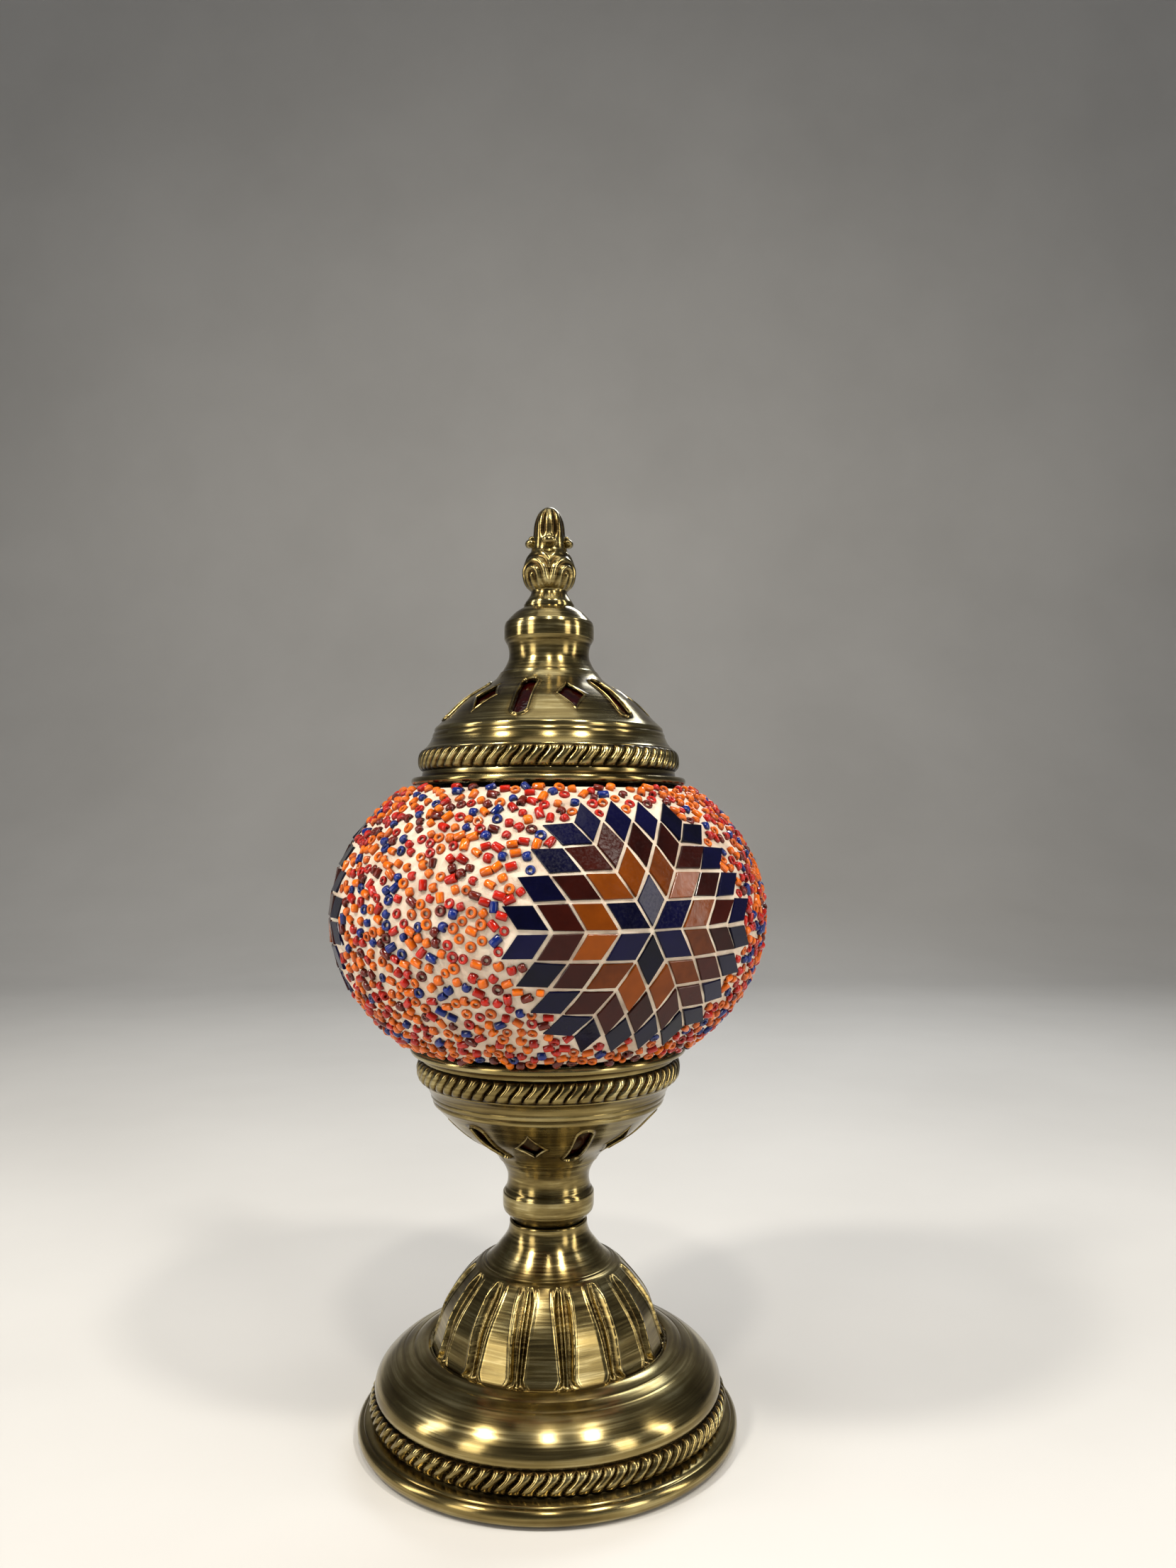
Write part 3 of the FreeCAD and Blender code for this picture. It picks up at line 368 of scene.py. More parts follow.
def grout():
    """Cream tile cement: matt and sandy, with small pits and darker smears."""
    material, tree, shader = new_material("grout", Subsurface_Weight=0.12, Subsurface_Scale=0.002)
    smear = noise(tree, 70, 6.0)
    sand = noise(tree, 1500, 4.0)
    lumps = noise(tree, 420, 3.0)
    colour = ramp(tree, smear, (0.28, (0.48, 0.36, 0.27)), (0.5, (0.68, 0.56, 0.44)),
                  (0.75, (0.78, 0.68, 0.56)))
    put(tree, shader.inputs["Base Color"], colour)
    put(tree, shader.inputs["Roughness"], remap(tree, lumps, 0.55, 0.8))
    height = calculate(tree, "ADD", calculate(tree, "MULTIPLY", sand, 0.25), lumps)
    add_bump(tree, shader, height, 0.35)
    return material


def bead_glass(name, deep, bright):
    """Glossy coloured glass of one bead colour, with painted shade low down and painted light on the
    side that faces out.
    """
    material, tree, shader = new_material(name, IOR=1.52, Specular_IOR_Level=0.25,
                                          Coat_Weight=0.3, Coat_Roughness=0.03)
    shade = node(tree, "Attribute", attribute_name="tone_and_painted_light").outputs["Fac"]
    streak = noise(tree, 800, 2.0)
    # The attribute holds painted light and shade: each bead is painted bright on its outward crest and
    # dark low down, plus a random tone per bead.
    mixed = calculate(tree, "ADD", calculate(tree, "MULTIPLY", shade, 0.8),
                      calculate(tree, "MULTIPLY", streak, 0.3))
    put(tree, shader.inputs["Base Color"], ramp(tree, mixed, (0.15, deep), (0.95, bright)))
    put(tree, shader.inputs["Roughness"], remap(tree, streak, 0.05, 0.13))
    add_bump(tree, shader, noise(tree, 500, 2.0), 0.08)
    return material


def tile_glass(name, deep, bright):
    """Cut sheet glass over pale grout: glossy, with slow waves, seeds and uneven colour."""
    material, tree, shader = new_material(name, Specular_IOR_Level=0.20)
    shade = node(tree, "Attribute", attribute_name="tone_and_painted_light").outputs["Fac"]
    cloud = noise(tree, 130, 5.0)
    mixed = calculate(tree, "ADD", calculate(tree, "MULTIPLY", shade, 0.55),
                      calculate(tree, "MULTIPLY", cloud, 0.6))
    put(tree, shader.inputs["Base Color"], ramp(tree, mixed, (0.2, deep), (0.9, bright)))
    seeds = noise(tree, 1100, 3.0)
    put(tree, shader.inputs["Roughness"], remap(tree, seeds, 0.08, 0.24))
    height = calculate(tree, "ADD", calculate(tree, "MULTIPLY", seeds, 0.12), noise(tree, 110, 2.0))
    add_bump(tree, shader, height, 0.12)
    return material


BRASS = antique_brass()
BEAD_COLOURS = {
    "orange": (0.47, bead_glass("bead_orange", (0.14, 0.006, 0.0005), (0.84, 0.17, 0.003))),
    "red": (0.28, bead_glass("bead_red", (0.06, 0.0008, 0.0006), (0.54, 0.014, 0.003))),
    "cobalt": (0.13, bead_glass("bead_cobalt", (0.0006, 0.0015, 0.014), (0.005, 0.022, 0.20))),
    "garnet": (0.12, bead_glass("bead_garnet", (0.016, 0.001, 0.001), (0.15, 0.012, 0.004))),
}
TILE_GLASS = {
    "tiles_navy": tile_glass("navy_glass", (0.0006, 0.0006, 0.004), (0.0030, 0.0028, 0.030)),
    "tiles_amber": tile_glass("amber_glass", (0.055, 0.011, 0.001), (0.25, 0.055, 0.003)),
    "tiles_maroon": tile_glass("maroon_glass", (0.010, 0.0015, 0.001), (0.046, 0.006, 0.003)),
}


def dress_cad_nodes():
    """Gives every CAD node that stays a material with its own detail."""
    steel = spun_metal("zinc_steel", (0.34, 0.34, 0.35), (0.62, 0.62, 0.64), (0.28, 0.45))
    bright_brass = spun_metal("bright_brass", (0.50, 0.36, 0.13), (0.80, 0.62, 0.28), (0.18, 0.32))
    nickel = spun_metal("nickel", (0.52, 0.50, 0.47), (0.80, 0.79, 0.77), (0.14, 0.28))
    rubber = mottled("rubber", ((0.012, 0.012, 0.012), (0.035, 0.034, 0.033)), 120, (0.6, 0.8),
                     (1800, 0.04))
    phenolic = mottled("phenolic", ((0.008, 0.007, 0.007), (0.022, 0.020, 0.019)), 90,
                       (0.22, 0.36), (900, 0.02))
    steatite = mottled("steatite", ((0.70, 0.68, 0.62), (0.88, 0.86, 0.81)), 150, (0.5, 0.7),
                       (1500, 0.06))
    vitrite = mottled("vitrite", ((0.006, 0.006, 0.010), (0.030, 0.030, 0.045)), 200,
                      (0.06, 0.16), (300, 0.05))
    phosphor = mottled("phosphor", ((0.78, 0.52, 0.06), (0.93, 0.74, 0.22)), 900, (0.3, 0.5),
                       (1600, 0.06))
    clear = bare_glass("bulb_glass", (0.97, 0.98, 0.97))
    globe = bare_glass("globe_glass", (0.80, 0.83, 0.81), 0.05)
    liner = liner_plastic()
    pad = felt()
    by_slot = {"steel": steel, "felt": pad, "rubber": rubber, "brass_hardware": bright_brass,
               "red_liner": liner, "holder_plastic": phenolic, "white_ceramic": steatite,
               "bulb_glass": clear, "bulb_metal": nickel, "black_glass": vitrite,
               "filament": phosphor, "globe_glass": globe, "antique_brass": BRASS}
    for part in frame["record"]["subparts"]:
        if part["material_slot"] in by_slot:
            data = frame["nodes"][part["node"]].data
            data.materials.clear()
            data.materials.append(by_slot[part["material_slot"]])


dress_cad_nodes()


# ---------------------------------------------------------------- pressed rope bands

def rope_relief(low, high, strands, bulge, lean):
    """Slanted overlapping strands with rounded ends, pressed between two heights. Lean is how many
    strands a strand moves round between its two ends."""
    def relief(line, angles):
        across = (line[:, 1:] * 2 - low - high) / (high - low)
        slant = lean * 0.5 * (across + 0.25 * np.sin(math.pi * across))
        place = angles[None, :] * strands / TURN - slant
        place = (place + 0.5) % 1 - 0.5
        rounded = np.clip(1 - (2 * place) ** 2, 0, 1) ** 0.55
        ends = np.clip(1 - np.abs(across) ** 2.4, 0, 1) ** 0.6
        raised = rounded * ends
        return raised * bulge, np.clip(1.15 - raised * 1.7, 0, 1)
    return relief


# ---------------------------------------------------------------- caps

CAP_COLUMNS = 384
CAP_STRANDS = 63
WINDOW_SECTORS = 12
MIDDLE = (node_box("globe_glass")[0][2] + node_box("globe_glass")[1][2]) / 2

# (radius, height above the globe's middle), from the flange to the end wall
CAP_FLANGE = [
    [(48.8, 49.2), (50.6, 48.75), (52.0, 49.0), (52.68, 50.2), (52.2, 51.5), (50.8, 51.9)],
    [(50.8, 51.9), (49.4, 51.95), (48.75, 52.5), (48.6, 53.4), (48.5, 54.3)],
]
CAP_ROPE_LOW = 54.3
CAP_ROPE_HIGH = 62.3
CAP_ROPE_BASE = 48.1
CAP_ROPE_BULGE = 1.95
CAP_SHOULDER = [
    [(48.1, 62.2), (47.95, 62.7), (47.2, 63.3), (45.9, 65.0), (45.0, 66.9)],
    [(45.0, 66.9), (44.75, 67.2), (44.8, 67.9), (44.35, 68.9)],
    [(44.35, 68.9), (44.0, 69.2), (44.05, 70.1), (43.7, 70.9), (43.0, 71.5)],
]
CAP_CONE = [(43.0, 71.5), (41.5, 73.0), (38.5, 76.0), (36.0, 78.6), (32.9, 81.4), (28.8, 84.3),
            (24.3, 87.1), (20.7, 89.9), (19.4, 91.6)]
CAP_END = 117.85
CAP_NECK = [
    [(19.4, 91.6), (18.9, 92.5)],
    [(18.9, 92.5), (18.3, 92.8), (17.9, 93.4), (16.7, 95.5), (15.8, 97.6), (15.5, 99.5),
     (15.6, 101.5), (16.1, 103.6)],
    [(16.1, 103.6), (16.7, 104.4), (16.95, 105.2)],
    [(16.95, 105.2), (17.3, 105.5), (17.4, 107.9), (17.32, 110.6), (17.05, 111.5)],
    [(17.05, 111.5), (16.95, 112.0), (16.6, 112.4)],
    [(16.6, 112.4), (14.9, 114.3), (12.9, 116.2), (10.2, CAP_END)],
]
DIAMOND_HALF = (5.2, 8.4)  # the windows' half widths and half lengths
SLOT_HALF = (2.5, 11.4)
WINDOW_MIDDLE = 0.46  # how far up the cone they lie, as a share of its slope
LIP_STEPS = (0.0, 0.22, 0.45, 0.7, 1.0, 1.35, 1.8)  # distances from a window's edge
SLOT_LIP = 0.75
DIAMOND_LIP = 0.28


def slot_outline(quarter):
    """A long window with round ends: a quarter of it, from its side to its end."""
    width, length = SLOT_HALF
    straight = length - width
    arc = width * math.pi / 2
    travelled = quarter * (straight + arc)
    angle = np.clip((travelled - straight) / width, 0, math.pi / 2)
    x = width * np.cos(angle)
    y = np.minimum(travelled, straight) + width * np.sin(angle)
    return x, y, np.cos(angle), np.sin(angle)


def diamond_outline(quarter):
    """A four-pointed window with hollow sides: a quarter of it, from its side point to its end."""
    width, length = DIAMOND_HALF
    x = width * (1 - quarter) ** 1.22
    y = length * quarter ** 1.22
    size = np.hypot(x, y)
    return x, y, x / size, y / size


def quarter_shares(across, up):
    """Points along a rectangle's quarter, up its side and back along its end, as shares of its
    half width and half height, with how far along the quarter each is."""
    shares = [(1.0, i / up) for i in range(up)] + [(1 - i / across, 1.0) for i in range(across)]
    shares = np.array(shares + [(0.0, 1.0)])
    steps = np.hypot(*np.diff(shares * (across, up), axis=0).T)
    return shares, np.concatenate([[0], np.cumsum(steps)]) / steps.sum()


def window_loop(outline, across, up):
    """Matching loops round a window's edge (place and outward direction) and its rectangle."""
    shares, quarter = quarter_shares(across, up)
    x, y, out_x, out_y = outline(quarter)
    first = np.stack([x, y, out_x, out_y, shares[:, 0], shares[:, 1]], axis=1)
    loop = [first[:-1]]
    for sign_x, sign_y, reverse in ((-1, 1, True), (-1, -1, False), (1, -1, True)):
        part = first * (sign_x, sign_y, sign_x, sign_y, sign_x, sign_y)
        loop.append(part[::-1][:-1] if reverse else part[:-1])
    return np.vstack(loop)


def add_window(surface, cone, side, centre_angle, outline, lip):
    """A sector of the cone with one window, whose edge is rolled into a raised lip."""
    length = np.concatenate([[0], np.cumsum(np.hypot(*np.diff(cone, axis=0).T))])
    middle = length[-1] * WINDOW_MIDDLE
    normals = outward(cone)
    across = CAP_COLUMNS // WINDOW_SECTORS // 2
    loop = window_loop(outline, across, 34)
    half_angle = TURN / WINDOW_SECTORS / 2
    outer_angle = loop[:, 4] * half_angle
    outer_place = np.where(loop[:, 5] > 0, middle + loop[:, 5] * (length[-1] - middle),
                           middle + loop[:, 5] * middle)

    def on_cone(angle, place, raised):
        radius = np.interp(place, length, cone[:, 0])
        height = np.interp(place, length, cone[:, 1])
        radius = radius + raised * np.interp(place, length, normals[:, 0])
        height = height + raised * np.interp(place, length, normals[:, 1])
        return round_axis(radius, centre_angle + angle, MIDDLE + side * height)

    rows = []
    tones_and_painted_light = []
    for step in LIP_STEPS:
        place = middle + loop[:, 1] + loop[:, 3] * step
        angle = (loop[:, 0] + loop[:, 2] * step) / np.interp(place, length, cone[:, 0])
        raised = lip * (bump(step - 0.55, 0.38) - 1.3 * bump(step, 0.16))
        rows.append(on_cone(angle, place, raised))
        tones_and_painted_light.append(np.full(len(loop), 0.55 * bump(step - 1.5, 0.35)))
    for share in (0.25, 0.5, 0.75, 1.0):
        rows.append(on_cone(angle + (outer_angle - angle) * share,
                            place + (outer_place - place) * share, 0.0))
        tones_and_painted_light.append(np.zeros(len(loop)))
    surface.add_grid(np.array(rows), np.array(tones_and_painted_light), flipped=side > 0)


def crease_hollow(line):
    """How hollow a turned line is where it steps inwards, for the dark patina in its corners."""
    tangent = np.gradient(line, axis=0)
    heading = np.unwrap(np.arctan2(tangent[:, 1], tangent[:, 0]))
    turning = -np.gradient(heading)
    return np.clip(np.convolve(turning, np.ones(5) / 2, mode="same"), 0, 1)


def step_relief(line, angles):
    """No relief, only patina in the corners."""
    return np.zeros((len(line), len(angles))), np.repeat(crease_hollow(line)[:, None], len(angles), 1)


def make_cap(name, node_name, side, turn, hole):
    """A pierced cap. Side is 1 above the globe and -1 below it, where the cap is upside down."""
    surface = Surface()
    half_sector = TURN / WINDOW_SECTORS / 2
    start = turn - half_sector

    def add_turned(line, columns, relief=step_relief):
        upright = line * (1, side) + (0, MIDDLE)
        surface.turn(upright[::side], columns, start, relief)

    add_turned(joined_lines(*CAP_FLANGE), CAP_COLUMNS)
    rope_low = MIDDLE + side * CAP_ROPE_LOW
    rope_high = MIDDLE + side * CAP_ROPE_HIGH
    rope = rope_relief(min(rope_low, rope_high), max(rope_low, rope_high), CAP_STRANDS,
                       CAP_ROPE_BULGE, 0.85)
    band = smooth_line([(CAP_ROPE_BASE + 0.4, CAP_ROPE_LOW), (CAP_ROPE_BASE, CAP_ROPE_HIGH)], 0.3)
    add_turned(band, CAP_STRANDS * 14, rope)
    add_turned(joined_lines(*CAP_SHOULDER), CAP_COLUMNS)
    cone = smooth_line(CAP_CONE)
    for sector in range(WINDOW_SECTORS):
        centre = turn + sector * 2 * half_sector
        if sector % 2:
            add_window(surface, cone, side, centre, slot_outline, SLOT_LIP)
        else:
            add_window(surface, cone, side, centre, diamond_outline, DIAMOND_LIP)
    add_turned(joined_lines(*CAP_NECK, [CAP_NECK[-1][-1], (hole, CAP_END)]), CAP_COLUMNS)
    made = surface.to_object(name, BRASS, wall=0.9)
    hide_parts(node_name)
    return made


# ---------------------------------------------------------------- foot

FOOT_STRANDS = 88
FOOT_ROPE_LOW = 7.9
FOOT_ROPE_HIGH = 15.9
FLUTES = 15
FLUTE_COLUMNS = FLUTES * 72
FLUTE_TURN = math.radians(-3)
FLUTE_HALF_TOP = 0.23  # a channel's half widths, as shares of the flutes' pitch
FLUTE_HALF_FOOT = 0.12
FLUTE_DEPTH = 1.8
FLUTE_RIB = 0.45  # how deep the rib's crest lies, as a share of the channel's depth
FLUTE_LIP = 0.24  # how far a panel's edges stand out
FLUTE_LOW = 31.75  # the height where the channels start
FLUTE_SILL = 2.2  # how far up from there they reach their full depth
FLUTE_CORNER = 35.2  # the height where the panels' rounded corners start
FLUTE_TOP = 55.5  # the height where the channels' round ends start
FLUTE_END = 4.6  # how tall those ends are

# (radius, height) from the rolled rim to the neck
FOOT_RIM = [
    [(65.9, 1.3), (67.4, 0.65), (69.2, 0.7), (70.7, 1.9), (71.18, 3.6), (70.8, 5.1), (69.8, 6.1),
     (68.9, 6.3)],
    [(68.9, 6.3), (68.5, 6.75), (67.5, 7.1), (66.4, 7.35), (65.3, 7.6)],
    [(65.3, 7.6), (64.7, 7.9)],
]
FOOT_WALL = [
    [(64.3, 15.8), (64.5, 16.3), (64.9, 17.0), (65.0, 18.4), (64.5, 20.4), (63.2, 22.8),
     (60.8, 25.4), (57.6, 27.9), (55.0, 29.3)],
    [(55.0, 29.3), (54.6, 29.35), (53.9, 29.75), (52.3, 30.4), (51.0, 30.9)],
    [(51.0, 30.9), (50.5, 30.95), (49.9, 31.4), (48.3, 32.2), (46.6, 32.75), (45.3, 32.6),
     (44.4, 31.9)],
]
FOOT_DOME = [(43.9, 31.75), (43.55, 32.6), (43.1, 34.0), (42.2, 36.8), (41.1, 40.0), (39.6, 44.4),
             (37.2, 48.7), (34.4, 52.5), (31.9, 55.6), (29.4, 58.3), (27.3, 60.2), (26.1, 61.0)]
FOOT_NECK = [
    [(26.1, 61.0), (25.3, 61.15), (24.7, 61.6)],
    [(24.7, 61.6), (24.2, 61.7), (22.5, 63.1), (20.3, 65.3), (18.5, 67.5), (16.7, 69.8),
     (15.5, 72.0), (14.9, 74.2), (14.75, 76.2)],
    [(14.75, 76.2), (14.4, 76.5), (13.6, 76.5)],
]


def flute_relief(line, angles):
    """Flat panels, with channels between them. Each channel has a thin rib along its middle and a
    round top end, and is narrower towards its foot, where the panels' corners are rounded. A line of
    painted shade darkens the panels along their foot."""
    height = line[:, 1:]
    radius = line[:, :1]
    pitch = TURN / FLUTES
    offset = np.abs((angles - FLUTE_TURN) % pitch - pitch / 2)[None, :] / pitch
    rise = np.clip((height - FLUTE_LOW) / (FLUTE_TOP - FLUTE_LOW), 0, 1)
    corners = 0.9 * np.clip((FLUTE_CORNER - height) / (FLUTE_CORNER - FLUTE_LOW), 0, 1) ** 2
    half = (FLUTE_HALF_FOOT + (FLUTE_HALF_TOP - FLUTE_HALF_FOOT) * rise) * (1 + corners)
    beyond = np.clip((height - FLUTE_TOP) / FLUTE_END, 0, 1)
    round_end = np.sqrt(1 - beyond ** 2)
    across = offset / (half * (1 - 0.45 * beyond ** 2))
    trough = np.sin(math.pi * np.clip(across, 0, 1) ** 0.8)
    rib = FLUTE_RIB * np.clip(1 - across / 0.55, 0, 1) ** 0.5
    sill = np.clip((height - FLUTE_LOW) / FLUTE_SILL, 0, 1)
    runs_out = np.sqrt(1 - (1 - sill) ** 2)
    depth = np.maximum(trough, rib) * round_end * runs_out * (across < 1)
    turned = (0.5 - offset) * pitch
    panel = (0.5 - half) * pitch
    flat = radius * (np.cos(panel) / np.cos(np.minimum(turned, panel)) - 1) * (across > 1)
    from_edge = (offset - half) * pitch * radius
    lip = FLUTE_LIP * bump(from_edge - 0.5, 0.45) * round_end
    # Painted shade: a dark line along the foot of each panel.
    under = 0.6 * np.clip((FLUTE_LOW + 1.1 - height) / 0.8, 0, 1) * (across > 1)
    return lip + flat * round_end - FLUTE_DEPTH * depth, np.clip(depth * 0.4 - 0.1, under, 0.6)


def make_foot():
    """The foot, from its rolled rim to the neck that the lower cap stands on."""
    surface = Surface()
    surface.turn(joined_lines(*FOOT_RIM), 360, 0.0, step_relief)
    band = smooth_line([(64.6, FOOT_ROPE_LOW), (64.3, FOOT_ROPE_HIGH)], 0.3)
    surface.turn(band, FOOT_STRANDS * 12, 0.0,
                 rope_relief(FOOT_ROPE_LOW, FOOT_ROPE_HIGH, FOOT_STRANDS, 2.5, 1.0))
    surface.turn(joined_lines(*FOOT_WALL), 360, 0.0, step_relief)
    surface.turn(smooth_line([(44.4, 31.9), (43.9, 31.75)]), FLUTE_COLUMNS)
    surface.turn(smooth_line(FOOT_DOME, 0.4), FLUTE_COLUMNS, 0.0, flute_relief)
    surface.turn(joined_lines(*FOOT_NECK), FLUTE_COLUMNS, 0.0, step_relief)
    made = surface.to_object("foot_shell", BRASS, wall=0.9)
    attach(made, "base")
    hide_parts("base_shell")


# ---------------------------------------------------------------- finial

FINIAL_LINE = [
    [(3.05, 311.85), (9.35, 311.85)],
    [(9.35, 311.85), (9.3, 312.4), (8.6, 313.5), (7.7, 314.8), (7.1, 316.0), (6.95, 317.0)],
    [(6.95, 317.0), (7.5, 317.5), (8.7, 318.8), (9.75, 321.0), (10.2, 323.6), (10.1, 325.6),
     (9.4, 327.8), (8.6, 330.0), (7.7, 331.6), (7.2, 332.6)],
    [(7.2, 332.6), (6.9, 333.6), (6.7, 335.2), (6.5, 337.0), (6.25, 338.8), (6.1, 340.4),
     (5.95, 342.2), (5.55, 344.3), (4.9, 346.2), (3.95, 347.9), (2.6, 349.2), (1.2, 349.85),
     (0.05, 349.97)],
]
SCROLLS = 4
BUD_GROOVES = 8


def finial_relief(line, angles):
    """Nested leaf loops on the lower ball and upright grooves on the bud."""
    height = line[:, 1:]
    radius = line[:, :1]
    pitch = TURN / SCROLLS
    offset = (angles[None, :] % pitch) - pitch / 2
    across = radius * offset / 8.2
    up = np.clip((height - 322.0) / 8.5, 0, None)
    nesting = np.hypot(across, up)
    on_ball = bump(height - 324.5, 6.6) * (height > 317) * (height < 333)
    loops = 0.42 * np.cos(nesting * TURN * 2.6) * on_ball * np.clip(radius / 8, 0, 1)
    on_bud = np.clip((height - 337.0) / 2.5, 0, 1) * np.clip((349.3 - height) / 3, 0, 1)
    grooves = np.abs(np.cos(angles[None, :] * BUD_GROOVES / 2)) ** 0.6 - 1
    grooves = grooves * 0.75 * on_bud
    raised = loops + grooves
    return raised, np.clip(-raised * 1.5, 0, 0.9)


def add_lump(surface, centre, angle, sizes, tilt=0.0, tone_and_painted_light=0.0):
    """A rounded lump at (radius, height) with half sizes outwards, sideways and up."""
    around = np.linspace(0, TURN, 28, endpoint=False)
    rise = np.linspace(-math.pi / 2, math.pi / 2, 15)[:, None]
    out = sizes[0] * np.cos(rise) * np.cos(around)
    side = sizes[1] * np.sign(np.sin(around)) * np.abs(np.sin(around)) ** 0.85 * np.cos(rise)
    up = sizes[2] * np.sin(rise) * np.ones_like(around)
    leaning = out + up * tilt
    x = (centre[0] + leaning) * math.sin(angle) + side * math.cos(angle)
    y = -(centre[0] + leaning) * math.cos(angle) + side * math.sin(angle)
    surface.add_grid(np.stack([x, y, centre[1] + up], axis=-1), tone_and_painted_light)


def make_finial():
    """The cast finial: a collar, a ball of leaf loops, four nubs and a grooved bud."""
    surface = Surface()
    surface.turn(joined_lines(*FINIAL_LINE[:2]), 288, 0.0, step_relief)
    surface.turn(joined_lines(*FINIAL_LINE[2:]), 288, 0.0, finial_relief)
    for k in range(SCROLLS):
        angle = TURN / SCROLLS * k
        add_lump(surface, (7.35, 335.7), angle, (2.05, 3.1, 1.75), -0.1)
        add_lump(surface, (6.9, 337.6), angle, (1.2, 1.3, 1.2), -0.4)
    made = surface.to_object("finial_cast", BRASS, crease=60.0)
    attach(made, "finial")
    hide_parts("finial")


# ---------------------------------------------------------------- globe: tiles, grout and beads

GROUT_RADIUS = node_box("grout_layer")[1][0]
GROUT_EDGE = (node_box("grout_layer")[1][2] - node_box("grout_layer")[0][2]) / 2
GLASS_RADIUS = (node_box("globe_glass")[1][0] - node_box("globe_glass")[0][0]) / 2
GROUT_THICKNESS = GROUT_RADIUS - GLASS_RADIUS


def ellipse_half_height():
    """Half height of the grout's ellipse, from where its upper edge lies."""
    co = np.array([v.co for v in frame["nodes"]["globe_glass"].data.vertices]) / MM
    top = co[:, 2].max() - MIDDLE
    mouth = np.hypot(co[:, 0], co[:, 1])[co[:, 2] > co[:, 2].max() - 0.05].max()
    return top / math.sqrt(1 - (mouth / GLASS_RADIUS) ** 2) + GROUT_THICKNESS


GROUT_HALF_HEIGHT = ellipse_half_height()


def globe_normal(points):
    """Unit outward normals of the globe at these points, which are centred on its middle."""
    normal = points / (GROUT_RADIUS ** 2, GROUT_RADIUS ** 2, GROUT_HALF_HEIGHT ** 2)
    return normal / np.linalg.norm(normal, axis=-1)[..., None]


def cad_tiles(node_name):
    """Each CAD diamond of a node as its centre, its outward normal and its four upper corners."""
    points = np.array([v.co for v in frame["nodes"][node_name].data.vertices]) / MM
    points -= (0, 0, MIDDLE)
    tiles = []
    for group in points.reshape(-1, 24, 3):
        corners = np.unique(np.round(group, 3), axis=0)
        centre = corners.mean(axis=0)
        normal = globe_normal(centre)
        upper = corners[(corners - centre) @ normal > 0]
        side = upper[0] - upper.mean(axis=0)
        side /= np.linalg.norm(side)
        other = np.cross(normal, side)
        flat = upper - upper.mean(axis=0)
        order = np.argsort(np.arctan2(flat @ other, flat @ side))
        tiles.append((upper.mean(axis=0), normal, upper[order]))
    return tiles


TILES = {name: cad_tiles(name) for name in TILE_GLASS}


def make_tiles():
    """Hand-cut diamonds: each a little irregular, tilted and chamfered, with its own depth of colour."""
    random = np.random.default_rng(7)
    for name, tiles in TILES.items():
        surface = Surface()
        for centre, normal, corners in tiles:
            corners = corners + random.normal(0, 0.16, corners.shape)
            lift = random.uniform(-0.22, 0.05)
            tilt = np.cross(normal, random.normal(0, 1, 3)) * 0.018
            size = 1.02 + random.uniform(-0.03, 0.03)
            spread = (corners - centre) * size
            spread -= np.outer(spread @ normal, normal)
            spread += np.outer(spread @ tilt, normal)
            reach = np.linalg.norm(spread, axis=1)[:, None]
            rings = []
            for inset, drop in ((0.0, 1.5), (0.0, 0.32), (0.10, 0.12), (0.34, 0.0)):
                rings.append(centre + spread * (1 - inset / reach) + normal * (lift - drop))
            points = np.array(rings) + (0, 0, MIDDLE)
            quads = [[k * 4 + i, k * 4 + (i + 1) % 4, k * 4 + 4 + (i + 1) % 4, k * 4 + 4 + i]
                     for k in range(3) for i in range(4)]
            quads.append([12, 13, 14, 15])
            surface.add_quads(points, quads, random.uniform(0, 1))
        made = surface.to_object(name + "_cut", TILE_GLASS[name], crease=25.0, weld=0.0)
        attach(made, "globe")
        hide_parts(name)


def distance_outside_tiles(points):
    """How far points on the globe are from the nearest diamond; negative inside one."""
    nearest = np.full(len(points), 1e3)
    for tiles in TILES.values():
        for centre, normal, corners in tiles:
            near = np.linalg.norm(points - centre, axis=1) < 16
            if not near.any():
                continue
            local = points[near] - centre
            outside = np.full(near.sum(), -1e3)
            for start, end in zip(corners, np.roll(corners, -1, axis=0)):
                along = (end - start) / np.linalg.norm(end - start)
                out = np.cross(along, normal)
                outside = np.maximum(outside, local @ out - (start - centre) @ out)
            nearest[near] = np.minimum(nearest[near], outside)
    return nearest


